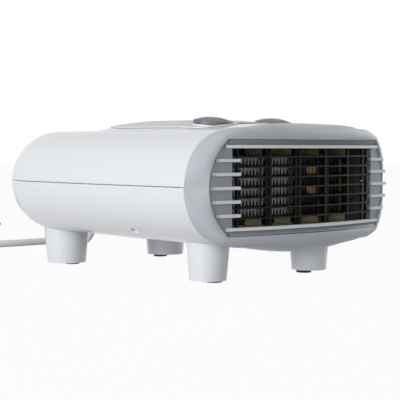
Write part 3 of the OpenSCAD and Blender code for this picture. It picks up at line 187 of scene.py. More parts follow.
PALE_MICA, DARK_MICA = colour(196, 184, 146), colour(34, 30, 27)
FINISHES = {
    "casing_white": make_finish("casing_white", colour(234, 237, 242), 0.30, coat=0.5, grain=0.006),
    "panel_grey": make_finish("panel_grey", colour(220, 224, 229), 0.42, grain=0.03),
    "surround_grey": make_finish("surround_grey", colour(192, 197, 204), 0.42, grain=0.03),
    "knob_grey": make_finish("knob_grey", colour(102, 105, 109), 0.40, grain=0.03),
    "black_plastic": make_finish("black_plastic", colour(7, 7, 8), 0.5, shine=0.15),
    "pad_rubber": make_finish("pad_rubber", colour(18, 19, 19), 0.75),
    "sheet_steel": make_finish("sheet_steel", colour(118, 119, 121), 0.5, metallic=1.0),
    "mica": make_finish("mica", PALE_MICA, 0.60, grain=0.15, grain_size=300.0),
    "ribbon_alloy": make_finish("ribbon_alloy", colour(238, 238, 235), 0.42, metallic=0.25),
    "brass": make_finish("brass", colour(150, 124, 78), 0.4, metallic=1.0),
    "copper": make_finish("copper", colour(196, 118, 78), 0.35, metallic=1.0),
    "lead_red": make_finish("lead_red", colour(96, 24, 20), 0.45),
    "cord_grey": make_finish("cord_grey", colour(232, 237, 242), 0.50),
    "fan_grey": make_finish("fan_grey", colour(165, 168, 171), 0.45),
}


# The mica stays pale above and below the rows of ribbon, and is painted dark where they run.
MICA_DARK_LOW, MICA_DARK_HIGH, MICA_DARK_EDGE = 53.5 * MM, 111.5 * MM, 2.5 * MM


def shade_by_place(material, axis, stops):
    """Colours a finish by one Object coordinate: stops are (place in metres, colour)."""
    tree = material.node_tree
    low, high = stops[0][0], stops[-1][0]
    share = add_span(tree, add_parts(tree, object_place(tree))[axis], low, high)
    colour_by(material, share, [((spot - low) / (high - low), shade) for spot, shade in stops])


shade_by_place(FINISHES["mica"], "Z", [
    (MICA_DARK_LOW, PALE_MICA), (MICA_DARK_LOW + MICA_DARK_EDGE, DARK_MICA),
    (MICA_DARK_HIGH - MICA_DARK_EDGE, DARK_MICA), (MICA_DARK_HIGH, PALE_MICA)])

CRIMP_LENGTH = 4.2 * MM
DARK_SLOPE, LIT_SLOPE = -0.2, 0.4
DARKEST_SLOPE, DARKEST_END = 0.04, 0.06
SHADED_SPAN = (4.0 * MM, 16.0 * MM)


def striped_by_crimp(material, bright, dark, reach=None):
    """Paints each crimp light on its lit slope and shade on the other; past reach the ribbon is painted in
    shade.
    """
    tree = material.node_tree
    across = add_parts(tree, object_place(tree))["X"]
    slope = add_math(tree, "COSINE", add_math(tree, "MULTIPLY", across, 2 * math.pi / CRIMP_LENGTH))
    share = add_span(tree, slope, DARK_SLOPE, LIT_SLOPE, DARKEST_SLOPE)
    if reach:
        share = add_math(tree, "MULTIPLY", share, add_span(tree, across, reach[0], reach[1], 1.0, DARKEST_END))
    colour_by(material, share, [(0.0, dark), (1.0, bright)])


# The ribbon gets painted light on one slope of each crimp, painted shade on the other, and painted shade over
# most of its right half.
striped_by_crimp(FINISHES["ribbon_alloy"], colour(240, 240, 238), colour(20, 19, 18), SHADED_SPAN)

# The frame's grey is a darker copy of the surround's grey, as painted shade, and its fins get a painted
# highlight where they stand proud of its face.
FRAME_SHADED_GREY, RIDGE_PAINTED_LIGHT = colour(152, 157, 163), colour(240, 243, 246)
FACE_CENTRE_Y, FACE_R = 372.0 * MM, 520.0 * MM
FINS_MIDDLE_Z, FINS_HALF_Z = 83.5 * MM, 35.4 * MM
PROUD_FROM, PROUD_TO = 0.4 * MM, 1.2 * MM
SIDEWAYS = 0.6


def painted_lit_ridges(material, plain, ridge_light):
    """Paints a highlight on the fins where they stand proud of the frame's curved face, except where they look
    sideways.
    """
    tree = material.node_tree
    place = object_place(tree)
    plan = tree.nodes.new("ShaderNodeVectorMath")
    plan.operation = "MULTIPLY"
    plan.inputs[1].default_value = (1.0, 1.0, 0.0)
    tree.links.new(place, plan.inputs[0])
    reach = tree.nodes.new("ShaderNodeVectorMath")
    reach.operation = "DISTANCE"
    reach.inputs[1].default_value = (0.0, FACE_CENTRE_Y, 0.0)
    tree.links.new(plan.outputs["Vector"], reach.inputs[0])
    proud = add_span(tree, reach.outputs["Value"], FACE_R + PROUD_FROM, FACE_R + PROUD_TO)
    level = add_math(tree, "COMPARE", add_parts(tree, place)["Z"], FINS_MIDDLE_Z, FINS_HALF_Z)
    surface = tree.nodes.new("ShaderNodeNewGeometry")
    sideways = add_math(tree, "ABSOLUTE", add_parts(tree, surface.outputs["Normal"])["X"])
    front_only = add_math(tree, "LESS_THAN", sideways, SIDEWAYS)
    lit = add_math(tree, "MULTIPLY", add_math(tree, "MULTIPLY", proud, level), front_only)
    colour_by(material, lit, [(0.0, plain), (1.0, ridge_light)])


FRAME_SHADE_AND_HIGHLIGHT = make_finish("frame_shade_and_highlight", FRAME_SHADED_GREY, 0.42, grain=0.03)
painted_lit_ridges(FRAME_SHADE_AND_HIGHLIGHT, FRAME_SHADED_GREY, RIDGE_PAINTED_LIGHT)
slot_of = {entry["node"]: entry["material_slot"] for entry in frame["record"]["subparts"]}
for node_name, node_object in frame["nodes"].items():
    node_object.data.materials.clear()
    node_object.data.materials.append(FINISHES[slot_of[node_name]])
print("finishes:", len(FINISHES))

# %% [markdown]
# The mains cord is one smooth curve: a stretch through listed points from the strain relief to the floor,
# then a round coil of the rest of it, and a short tail into the plug. It could be a swept mesh, but a curve
# keeps its line and its thickness apart, so that either can be changed alone.

# %% The cord's line
CORD_DIAMETER = 8.0
RELIEF_END = 185.05
CORD_ROUTE = [
    (55, RELIEF_END, 52), (55, RELIEF_END + 8, 52), (55.5, 206, 49), (57, 219, 41.5), (60, 231, 31),
    (63, 243, 20.5), (67, 256, 11), (71, 270, 6), (73, 284, 4.3), (69, 298, 4.2), (58, 307, 4.2),
    (45, 311, 4.2),
    (31, 312, 4.2), (17, 312, 4.2), (3, 312.5, 4.2), (-11, 314, 4.2), (-25, 316, 4.3), (-40, 317.6, 4.8),
]
COIL_MIDDLE = (-55.0, 370.6)
COIL_RADIUS = 52.6
COIL_TURNS = 4.5
COIL_PITCH = 8.6
COIL_HEIGHT = 5.2
COIL_STEPS = 48
COIL_START = 270.0
CLIMB_TURNS = 0.5
ROUTE_STEPS = 4
CORD_ROUNDNESS = 4


def smooth_line(points, steps):
    """Catmull-Rom points through a route given in millimetres."""
    line = []
    corners = [Vector(point) for point in points]
    last = len(corners) - 1
    for k in range(last):
        before, here = corners[max(k - 1, 0)], corners[k]
        there, after = corners[k + 1], corners[min(k + 2, last)]
        square = 2 * before - 5 * here + 4 * there - after
        cube = 3 * here - before - 3 * there + after
        for s in range(steps):
            t = s / steps
            line.append(0.5 * (2 * here + (there - before) * t + square * t * t + cube * t ** 3))
    line.append(corners[last])
    return line


def coil_point(turn):
    """The cord winds inward on the floor, climbs by one pitch, and winds outward on top."""
    middle = COIL_TURNS / 2
    share = min(max((turn - middle) / CLIMB_TURNS + 0.5, 0.0), 1.0)
    climb = 0.5 - 0.5 * math.cos(math.pi * share)
    radius = COIL_RADIUS - COIL_PITCH * min(turn, COIL_TURNS - turn)
    angle = math.radians(COIL_START - 360 * turn)
    return Vector((COIL_MIDDLE[0] + radius * math.cos(angle), COIL_MIDDLE[1] + radius * math.sin(angle),
                   COIL_HEIGHT + COIL_PITCH * climb))


coil_line = [coil_point(k / COIL_STEPS) for k in range(int(COIL_TURNS * COIL_STEPS) + 1)]
coil_end = coil_line[-1]
plug_low, plug_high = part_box("plug")
plug_mouth = Vector((plug_low.x / MM, (plug_low.y + plug_high.y) / 2 / MM,
                     (plug_low.z + plug_high.z) / 2 / MM))
tail = [coil_end, coil_end + Vector((10, 0.5, 0.3)), coil_end + Vector((20, 1.4, 2)),
        Vector((coil_end.x + 29, plug_mouth.y, plug_mouth.z - 0.5)),
        Vector((coil_end.x + 36, plug_mouth.y, plug_mouth.z)), plug_mouth]
entry = CORD_ROUTE + [tuple(coil_line[0] + Vector((8, 0, 0))), tuple(coil_line[0])]
cord_line = smooth_line(entry, ROUTE_STEPS)[:-1] + coil_line[:-1] + smooth_line(tail, ROUTE_STEPS)

# %% The cord as a curve
curve = bpy.data.curves.new("mains_cord", "CURVE")
curve.dimensions = "3D"
spline = curve.splines.new("POLY")
spline.points.add(len(cord_line) - 1)
for spot, point in zip(spline.points, cord_line):
    spot.co = (point.x * MM, point.y * MM, point.z * MM, 1.0)
spline.use_smooth = True
curve.bevel_depth = CORD_DIAMETER / 2 * MM
curve.bevel_resolution = CORD_ROUNDNESS
curve.use_fill_caps = True
curve.materials.append(FINISHES["cord_grey"])
mains_cord = bpy.data.objects.new("mains_cord", curve)
bpy.context.scene.collection.objects.link(mains_cord)
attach(mains_cord, "heater")
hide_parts("cord", "cord_coil")

# %% [markdown]
# The two shells share one rule. A row of points runs across the heater: up the half-round flank, over the
# level shoulder, and over the crown. Rows follow each other from the front to the rear corners, and the
# last row turns down over the round rear end. The CAD solids use the same rule with fewer faces. A coarse
# cage under a Subdivision Surface would be quicker, but computed points lie on the casing's own arcs.

# %% The casing's sizes, in millimetres
MID_Z = 83.5
FLANK_R = 47.5
HALF_W = 132.0
BULGE_R = 1680.0
WIDEST_Y = 15.0
REAR_Y = 155.0
CORNER_R = 55.0
SPLIT_Y = -123.5
WALL = 2.6
PARTING_GAP = 0.5
SEAM_Z = MID_Z + 0.8
CROWN_RISE, CROWN_R, CROWN_REAR_R, CROWN_FRONT_R = 57.1, 332.0, 212.0, 500.0
CROWN_Y0, CROWN_Y1 = -20.0, 35.0
BROW_RISE, BROW_R = 53.9, 400.0
BELLY_DROP, BELLY_R, BELLY_Y1 = 57.0, 300.0, 40.0
FLANK_CX = HALF_W - BULGE_R
CORNER_CY = REAR_Y - CORNER_R
CORNER_CX = FLANK_CX + math.sqrt((BULGE_R - CORNER_R) ** 2 - (CORNER_CY - WIDEST_Y) ** 2)
LEAST_CREASE = 6.0


def half_width(y):
    return FLANK_CX + math.sqrt(BULGE_R ** 2 - (y - WIDEST_Y) ** 2)


def arc_height(x, inset, rise, radius):
    return rise - radius + math.sqrt(max((radius - inset) ** 2 - x * x, 0.0))


def fallen(height, run, rise, fall_r):
    return rise - fall_r + math.sqrt(max(0.0, (fall_r - rise + height) ** 2 - run * run))


def top_height(x, y, inset):
    height = arc_height(x, inset, CROWN_RISE, CROWN_R)
    if y > CROWN_Y1:
        height = fallen(height, y - CROWN_Y1, CROWN_RISE, CROWN_REAR_R)
    elif y < CROWN_Y0:
        height = max(fallen(height, y - CROWN_Y0, CROWN_RISE, CROWN_FRONT_R),
                     arc_height(x, inset, BROW_RISE, BROW_R))
    return max(FLANK_R - inset, height)


def low_height(x, y, inset):
    height = arc_height(x, inset, BELLY_DROP, BELLY_R)
    if y > BELLY_Y1:
        height = fallen(height, y - BELLY_Y1, BELLY_DROP, CROWN_REAR_R)
    return max(FLANK_R - inset, height)


def crease(height, inset, rise, radius):
    return math.sqrt(max(LEAST_CREASE ** 2, (radius - inset) ** 2 - (height + radius - rise) ** 2))


def crease_after(run, inset, rise, radius, fall_r):
    level = math.sqrt((FLANK_R - inset - rise + fall_r) ** 2 + run * run) - fall_r + rise
    return crease(level, inset, rise, radius)


def top_crease(y, inset):
    if y > CROWN_Y1:
        return crease_after(y - CROWN_Y1, inset, CROWN_RISE, CROWN_R, CROWN_REAR_R)
    if y > CROWN_Y0:
        return crease(FLANK_R - inset, inset, CROWN_RISE, CROWN_R)
    return max(crease_after(y - CROWN_Y0, inset, CROWN_RISE, CROWN_R, CROWN_FRONT_R),
               crease(FLANK_R - inset, inset, BROW_RISE, BROW_R))


def low_crease(y, inset):
    if y > BELLY_Y1:
        return crease_after(y - BELLY_Y1, inset, BELLY_DROP, BELLY_R, CROWN_REAR_R)
    return crease(FLANK_R - inset, inset, BELLY_DROP, BELLY_R)


print("width at the split:", round(2 * half_width(SPLIT_Y), 1))

# %% A shell as one net of points
FLANK_ROWS = 46
CORNER_ROWS = 18
EDGE_COLS = 22
SHOULDER_COLS = 4
CROWN_COLS = 14
RIM_ROUND = 0.5
LEAST_SHOULDER = 2.0


def shell_rows():
    """Each row: its place on the rim, the way in from it, and how far its rounded front edge is drawn in."""
    rows = [((half_width(SPLIT_Y), SPLIT_Y), (1.0, 0.0), RIM_ROUND)]
    for k in range(FLANK_ROWS + 1):
        y = SPLIT_Y + RIM_ROUND + (CORNER_CY - SPLIT_Y - RIM_ROUND) * k / FLANK_ROWS
        rows.append(((half_width(y), y), (1.0, 0.0), 0.0))
    for k in range(1, CORNER_ROWS + 1):
        turn = math.pi / 2 * k / CORNER_ROWS
        way = (math.cos(turn), math.sin(turn))
        rows.append(((CORNER_CX + CORNER_R * way[0], CORNER_CY + CORNER_R * way[1]), way, 0.0))
    return rows


def edge_point(row, share, inset, lift):
    (x, y), way, _ = row
    radius = FLANK_R - inset
    start = math.asin(lift / radius)
    angle = start + (math.pi / 2 - start) * share
    back = inset + radius * (1 - math.cos(angle))
    return (x - way[0] * back, y - way[1] * back, radius * math.sin(angle))


def half_row(row, inset, lift, low):
    inset = inset + row[2]
    points = [edge_point(row, 0.0, inset + RIM_ROUND, lift)]
    points += [edge_point(row, k / EDGE_COLS, inset, lift + RIM_ROUND) for k in range(EDGE_COLS + 1)]
    x_edge, y, _ = points[-1]
    height, fold = (low_height, low_crease) if low else (top_height, top_crease)
    x_fold = min(x_edge - LEAST_SHOULDER, fold(y, inset))
    places = [x_edge + (x_fold - x_edge) * k / SHOULDER_COLS for k in range(1, SHOULDER_COLS + 1)]
    places += [x_fold * (1 - k / CROWN_COLS) for k in range(1, CROWN_COLS + 1)]
    return points + [(x, y, height(x, y, inset)) for x in places]


def skin_points(inset, lift, low):
    """The points by row, then the points of the rear strips by strip."""
    sign = -1.0 if low else 1.0
    rows = []
    for row in shell_rows():
        half = half_row(row, inset, lift, low)
        left = [(-x, y, MID_Z + sign * z) for x, y, z in half]
        right = [(x, y, MID_Z + sign * z) for x, y, z in reversed(half[:-1])]
        rows.append(left + right)
    rim_cols = EDGE_COLS + 1
    last = rows[-1]
    strips = []
    for k in range(1, rim_cols + 1):
        _, y, z = last[rim_cols - k]
        strips.append([(x, y, z) for x, _, _ in last[rim_cols + 1:len(last) - rim_cols - 1]])
    return rows, strips


def net_faces(rows, strips, first, flip):
    cols = len(rows[0])
    last = len(rows) - 1
    rim_cols = EDGE_COLS + 1
    inner_cols = len(strips[0])

    def at(i, j):
        return first + i * cols + j

    def at_rear(k, j):
        if k == 0:
            return at(last, j)
        if j == rim_cols:
            return at(last, rim_cols - k)
        if j == cols - 1 - rim_cols:
            return at(last, cols - 1 - rim_cols + k)
        return first + (last + 1) * cols + (k - 1) * inner_cols + j - rim_cols - 1

    faces = [(at(i, j), at(i + 1, j), at(i + 1, j + 1), at(i, j + 1))
             for i in range(last) for j in range(cols - 1)]
    faces += [(at_rear(k, j), at_rear(k + 1, j), at_rear(k + 1, j + 1), at_rear(k, j + 1))
              for k in range(rim_cols) for j in range(rim_cols, cols - 1 - rim_cols)]
    loop = [at(0, j) for j in range(cols)] + [at(i, cols - 1) for i in range(1, last + 1)]
    loop += [at_rear(rim_cols, j) for j in range(cols - 2 - rim_cols, rim_cols, -1)]
    loop += [at(i, 0) for i in range(last, 0, -1)]
    return ([face[::-1] for face in faces] if flip else faces), loop


def new_piece(name, points, faces, material):
    mesh = bpy.data.meshes.new(name)
    mesh.from_pydata([(x * MM, y * MM, z * MM) for x, y, z in points], [], faces)
    mesh.materials.append(material)
    mesh.update()
    piece = bpy.data.objects.new(name, mesh)
    bpy.context.scene.collection.objects.link(piece)
    return piece


def shell_piece(name, low, lift, material):
    outer_rows, outer_strips = skin_points(0.0, lift, low)
    inner_rows, inner_strips = skin_points(WALL, lift, low)
    points = [p for row in outer_rows + outer_strips for p in row]
    first_inner = len(points)
    points += [p for row in inner_rows + inner_strips for p in row]
    outer_faces, outer_loop = net_faces(outer_rows, outer_strips, 0, not low)
    inner_faces, inner_loop = net_faces(inner_rows, inner_strips, first_inner, low)
    count = len(outer_loop)
    rim = [(outer_loop[k], outer_loop[(k + 1) % count], inner_loop[(k + 1) % count], inner_loop[k])
           for k in range(count)]
    rim = rim if low else [face[::-1] for face in rim]
    return new_piece(name, points, outer_faces + inner_faces + rim, material)


def signed_volume(piece):
    total = 0.0
    mesh = piece.data
    mesh.calc_loop_triangles()
    for triangle in mesh.loop_triangles:
        a, b, c = (mesh.vertices[index].co for index in triangle.vertices)
        total += a.dot(b.cross(c)) / 6
    return total


upper_shell = shell_piece("upper_shell", False, SEAM_Z + PARTING_GAP / 2 - MID_Z, FINISHES["casing_white"])
lower_shell = shell_piece("lower_shell", True, MID_Z - SEAM_Z + PARTING_GAP / 2, FINISHES["casing_white"])
print("shell volumes, ml:", [round(signed_volume(piece) * 1e6, 1) for piece in (upper_shell, lower_shell)])

# %% [markdown]
# Holes and feet come next. A Boolean joins the four tapered feet to the lower shell, and then cuts what the
# mould leaves open: the feet's hollows, the slots below the fan, the screw recesses and the cord's hole. They
# meet a curved skin, and a Boolean finds that line where a net would need it worked out.

# %% Helpers for solids


def prism_faces(count):
    """The foot, the top and the sides between two rings of points."""
    faces = [tuple(range(count - 1, -1, -1)), tuple(range(count, 2 * count))]
    return faces + [(k, (k + 1) % count, count + (k + 1) % count, count + k) for k in range(count)]


def tube_solid(place, radius, end_radius, height, turn=Matrix.Identity(4), sides=64):
    """Points and faces of a closed cone or cylinder that stands on place."""
    points = []
    for level, size in ((0.0, radius), (height, end_radius)):
        for k in range(sides):
            angle = 2 * math.pi * k / sides
            spot = turn @ Vector((size * math.cos(angle), size * math.sin(angle), level))
            points.append((place[0] + spot.x, place[1] + spot.y, place[2] + spot.z))
    return points, prism_faces(sides)


def box_solid(low, high):
    points = [(x, y, z) for z in (low[2], high[2]) for y in (low[1], high[1]) for x in (low[0], high[0])]
    return points, [(0, 2, 3, 1), (4, 5, 7, 6), (0, 1, 5, 4), (1, 3, 7, 5), (3, 2, 6, 7), (2, 0, 4, 6)]


def joined(solids):
    points, faces = [], []
    for solid_points, solid_faces in solids:
        faces += [tuple(index + len(points) for index in face) for face in solid_faces]
        points += solid_points
    return points, faces


def baked(piece):
    """Turns what the modifiers make into the piece's own mesh."""
    shape = bpy.data.meshes.new_from_object(piece.evaluated_get(bpy.context.evaluated_depsgraph_get()))
    piece.modifiers.clear()
    piece.data = shape
    return piece


def soften(piece, width, segments, angle):
    """Rounds the edges where a net bends by more than the angle."""
    bevel = piece.modifiers.new("soften", "BEVEL")
    bevel.width = width * MM
    bevel.segments = segments
    bevel.limit_method = "ANGLE"
    bevel.angle_limit = math.radians(angle)
    return baked(piece)


def combine(piece, solids, operation):
    tool = new_piece("tool", *joined(solids), FINISHES["casing_white"])
    modifier = piece.modifiers.new("combine", "BOOLEAN")
    modifier.operation = operation
    modifier.solver = "EXACT"
    modifier.object = tool
    baked(piece)
    bpy.data.objects.remove(tool)
    return piece


def smooth(piece, angle=32):
    for face in piece.data.polygons:
        face.use_smooth = True
    piece.data.set_sharp_from_angle(angle=math.radians(angle))
    return piece


def stand_for(piece, body, material_slot, *node_names):
    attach(piece, body)
    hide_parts(*node_names)
    return piece


# %% Feet, slots, recesses and holes
PAD_HEIGHT = 2.5
FOOT_SLOPE = 0.085
FOOT_X = 65.0
FEET = [(side * FOOT_X, y, radius, height) for side in (-1, 1)
        for y, radius, height in ((-87, 16.2, 35.5), (118, 19, 47.5))]
SCREW_PLACES = [(110, -43), (-110, -43), (30, 126), (-30, 126)]
RECESS_R = 3.3
RECESS_TOP = 55.0
RECESS_FOOT = MID_Z - FLANK_R - 6
SLOT_COUNT, SLOT_PITCH, SLOT_WIDTH, SLOT_LENGTH, SLOT_Y = 9, 8.0, 3.6, 42.0, 20.0
SLOT_BELOW, SLOT_ABOVE = 4, 12
RELIEF_HOLE_R, RELIEF_HOLE_DEPTH, RELIEF_HOLE_LENGTH = 6.2, 32, 50

feet = [tube_solid((x, y, PAD_HEIGHT), r, r + FOOT_SLOPE * h, h) for x, y, r, h in FEET]
hollows = [tube_solid((x, y, PAD_HEIGHT + WALL), r - WALL, r - WALL + FOOT_SLOPE * h, h)
           for x, y, r, h in FEET]
recesses = [tube_solid((x, y, RECESS_FOOT), RECESS_R, RECESS_R, RECESS_TOP - RECESS_FOOT, sides=32)
            for x, y in SCREW_PLACES]
slots = []
for k in range(SLOT_COUNT):
    slot_x = (k - (SLOT_COUNT - 1) / 2) * SLOT_PITCH
    low_corner = (slot_x - SLOT_WIDTH / 2, SLOT_Y - SLOT_LENGTH / 2, MID_Z - BELLY_DROP - SLOT_BELOW)
    high_corner = (slot_x + SLOT_WIDTH / 2, SLOT_Y + SLOT_LENGTH / 2, MID_Z - BELLY_DROP + SLOT_ABOVE)
    slots.append(box_solid(low_corner, high_corner))
to_rear = Matrix.Rotation(math.radians(-90), 4, "X")
cord_x, _, cord_z = CORD_ROUTE[0]
cord_hole = tube_solid((cord_x, REAR_Y - RELIEF_HOLE_DEPTH, cord_z), RELIEF_HOLE_R, RELIEF_HOLE_R,
                       RELIEF_HOLE_LENGTH, to_rear)
combine(lower_shell, feet, "UNION")
for group in (hollows, recesses, slots, [cord_hole]):
    combine(lower_shell, group, "DIFFERENCE")
smooth(lower_shell)
stand_for(lower_shell, "heater", "casing_white", "lower_casing")
print("lower shell faces:", len(lower_shell.data.polygons))

# %% [markdown]
# Each knob sits in a flat round seat that leans a little, with a hole in its middle for the shaft. A short
# cylinder joined to the shell is the seat's floor, and two more are cut out of it. Booleans again, because a
# leaning circle has no rows in common with the shell's net.

# %% The knobs' seats in the upper shell
KNOB_X, KNOB_Y, KNOB_SEAT, KNOB_TILT = 39.0, -65.0, 53.2, 5.2
SEAT_R = 18.5
HUB_HOLE_R = 6.4
SEAT_FLOOR, SEAT_CLEAR = 2, 12
SEAT_MARGIN, SEAT_LOWEST = 0.4, MID_Z + FLANK_R - 1
tilt = Matrix.Rotation(math.radians(KNOB_TILT), 4, "X")


def on_seat(side, depth, radius, height):
    offset = tilt @ Vector((0, 0, depth))
    place = (side * KNOB_X + offset.x, KNOB_Y + offset.y, MID_Z + KNOB_SEAT + offset.z)
    return tube_solid(place, radius, radius, height, tilt)


combine(upper_shell, [on_seat(side, -WALL - SEAT_FLOOR, SEAT_R, WALL + SEAT_FLOOR)
                      for side in (-1, 1)], "UNION")
combine(upper_shell, [on_seat(side, 0.0, SEAT_R, SEAT_CLEAR) for side in (-1, 1)], "DIFFERENCE")
combine(upper_shell, [on_seat(side, -SEAT_CLEAR, HUB_HOLE_R, 2 * SEAT_CLEAR) for side in (-1, 1)], "DIFFERENCE")
upper_shell.data.materials.append(FINISHES["panel_grey"])
seat_index = len(upper_shell.data.materials) - 1
for face in upper_shell.data.polygons:
    from_knob = math.hypot(abs(face.center.x) - KNOB_X * MM, face.center.y - KNOB_Y * MM)
    if from_knob < (SEAT_R + SEAT_MARGIN) * MM and face.center.z > SEAT_LOWEST * MM:
        face.material_index = seat_index
smooth(upper_shell)
stand_for(upper_shell, "heater", "casing_white", "upper_casing")
print("upper shell faces:", len(upper_shell.data.polygons))

# %% [markdown]
# The top panel is a thin inlay that follows the crown. It is round at the rear, and at the front it wraps
# round both knobs and ends behind them between. It starts as a net like the shells with a small bevel on its
# outline, is then cut to that form from above, and last the two knobs' seats are cut out of it.

# %% Top panel
PANEL_X, PANEL_Y0, PANEL_Y1 = 68.0, -100.0, 88.0
PANEL_GAP, PANEL_T, PANEL_ROUND = 0.3, 1.0, 0.35
PANEL_COLS, PANEL_ROWS, PANEL_ARC_ROWS = 40, 34, 26
PANEL_ARC = 88.0
ARC_Y = PANEL_Y1 - PANEL_X


def panel_rows():
    rows = [(PANEL_X, PANEL_Y0 + (ARC_Y - PANEL_Y0) * k / PANEL_ROWS) for k in range(PANEL_ROWS + 1)]
    for k in range(1, PANEL_ARC_ROWS + 1):
        turn = math.radians(PANEL_ARC * k / PANEL_ARC_ROWS)
        rows.append((PANEL_X * math.cos(turn), ARC_Y + PANEL_X * math.sin(turn)))
    return rows


def panel_points(lift):
    points = []
    for half, y in panel_rows():
        for j in range(PANEL_COLS + 1):
            x = half * (2 * j / PANEL_COLS - 1)
            points.append((x, y, MID_Z + top_height(x, y, -lift)))
    return points


panel_width = PANEL_COLS + 1
row_count = len(panel_rows())
upper_side = panel_points(PANEL_GAP + PANEL_T)
shift = len(upper_side)
panel_faces = [(i * panel_width + j, i * panel_width + j + 1,
                (i + 1) * panel_width + j + 1, (i + 1) * panel_width + j)
               for i in range(row_count - 1) for j in range(PANEL_COLS)]
edge = list(range(panel_width)) + [i * panel_width + PANEL_COLS for i in range(1, row_count)]
edge += [(row_count - 1) * panel_width + j for j in range(PANEL_COLS - 1, -1, -1)]
edge += [i * panel_width for i in range(row_count - 2, 0, -1)]
under_faces = [tuple(index + shift for index in face[::-1]) for face in panel_faces]
side_faces = [(edge[k], edge[k] + shift, edge[(k + 1) % len(edge)] + shift, edge[(k + 1) % len(edge)])
              for k in range(len(edge))]
top_inlay = new_piece("top_inlay", upper_side + panel_points(PANEL_GAP),
                      panel_faces + under_faces + side_faces, FINISHES["panel_grey"])
soften(top_inlay, PANEL_ROUND, 2, 60)

ISLAND_R = 22.0
SIDE_TURN = (-68.5, -30.0)
ISLAND_SIDE, ISLAND_REAR = -90.0, 110.0
ISLAND_FROM, ISLAND_TO, ISLAND_STEPS = 191.4, 345, 32
ISLAND_LOW, ISLAND_HIGH = MID_Z + 20, MID_Z + 80
KNOB_GAP, CUT_HALF = 0.2, 20


def island_outline():
    """The panel wraps round both knobs and stays behind them between, seen from above."""
    left = [(ISLAND_SIDE, ISLAND_REAR), (ISLAND_SIDE, SIDE_TURN[1]), SIDE_TURN]
    for k in range(ISLAND_STEPS + 1):
        turn = math.radians(ISLAND_FROM + (ISLAND_TO - ISLAND_FROM) * k / ISLAND_STEPS)
        left.append((-KNOB_X + ISLAND_R * math.cos(turn), KNOB_Y + ISLAND_R * math.sin(turn)))
    return left + [(-x, y) for x, y in reversed(left)]


outline = island_outline()
island = ([(x, y, z) for z in (ISLAND_LOW, ISLAND_HIGH) for x, y in outline], prism_faces(len(outline)))
combine(top_inlay, [island], "INTERSECT")
combine(top_inlay, [on_seat(side, -CUT_HALF, SEAT_R + KNOB_GAP, 2 * CUT_HALF)
                    for side in (-1, 1)], "DIFFERENCE")
smooth(top_inlay)
stand_for(top_inlay, "heater", "panel_grey", "top_panel")
print("panel volume, ml:", round(signed_volume(top_inlay) * 1e6, 2))

# %% [markdown]
# The front surround is a ring whose skin runs from the shells' outline to the edge of the opening. Each
# station lies on one ray from the middle, and the skin between follows a superellipse, which is nearly
# straight on the flanks and full at the lips. A profile swept round an outline would do for an even ring, but
# this one's section changes all the way round.

# %% Front surround
NOSE_Y, NOSE_R = -155.0, 350.0
LIP_Z, LIP_T = 39.5, 3.0
SIDE_R, SIDE_X = 55.0, 111.0
RING_BACK = SPLIT_Y - 0.2
COLLAR_LEN, COLLAR_OUT, COLLAR_IN = 6.0, WALL + 0.7, WALL + 2.4
CROWN_X = 76.0
BROW_SWELL, CHIN_SWELL = 3.6, 3.0
BROW_WINDOW, CHIN_WINDOW = (0.5, 0.45), (0.62, 0.32)
SIDE_STATIONS, LIP_STATIONS, SKIN_STEPS = 26, 34, 20
SPLIT_HALF = HALF_W - (SPLIT_Y - WIDEST_Y) ** 2 / (2 * BULGE_R)
OPENING_CORNER_X = SIDE_X - SIDE_R + math.sqrt(SIDE_R ** 2 - LIP_Z ** 2)
LIP_FULLNESS, LIP_ONSET = 2, 1.5
RING_ROUND = 0.7
LEAST_WAY = 0.001


def ray_way(angle):
    return HALF_W * math.cos(angle), CROWN_RISE * math.sin(angle)


def leave(way, middle, radius):
    """How far along a ray it leaves a circle."""
    size = way[0] ** 2 + way[1] ** 2
    reach = middle[0] * way[0] + middle[1] * way[1]
    beyond = size * (middle[0] ** 2 + middle[1] ** 2 - radius ** 2)
    return (reach + math.sqrt(max(0.0, reach ** 2 - beyond))) / size


def band(way, z):
    return z / max(abs(way[1]), LEAST_WAY)


def outline_back(way, inset):
    x_flank = SPLIT_HALF - FLANK_R
    level = band(way, FLANK_R - inset)
    first = (abs(way[0]), abs(way[1]))
    flank = level if level * first[0] <= x_flank else leave(first, (x_flank, 0.0), FLANK_R - inset)
    rise, radius = (BELLY_DROP, BELLY_R) if way[1] < 0 else (BROW_RISE, BROW_R)
    crown = min(leave(first, (0.0, rise - radius), radius - inset), CROWN_X / max(first[0], LEAST_WAY))
    return max(flank, crown)


def outline_front(way):
    level = band(way, LIP_Z)
    if level * abs(way[0]) <= OPENING_CORNER_X:
        return level
    return leave((abs(way[0]), way[1]), (SIDE_X - SIDE_R, 0.0), SIDE_R)


def nose_at(x):
    return NOSE_Y + NOSE_R - math.sqrt(NOSE_R ** 2 - x * x)


def window(angle, middle, width):
    share = (abs(math.cos(angle)) - middle) / width
    return math.cos(math.pi / 2 * share) ** 2 if abs(share) < 1 else 0.0


def swell(angle):
    """Both lips swell beyond the line between their edges, most between their middle and their ends."""
    if math.sin(angle) > 0:
        return BROW_SWELL * window(angle, *BROW_WINDOW)
    return -CHIN_SWELL * window(angle, *CHIN_WINDOW)


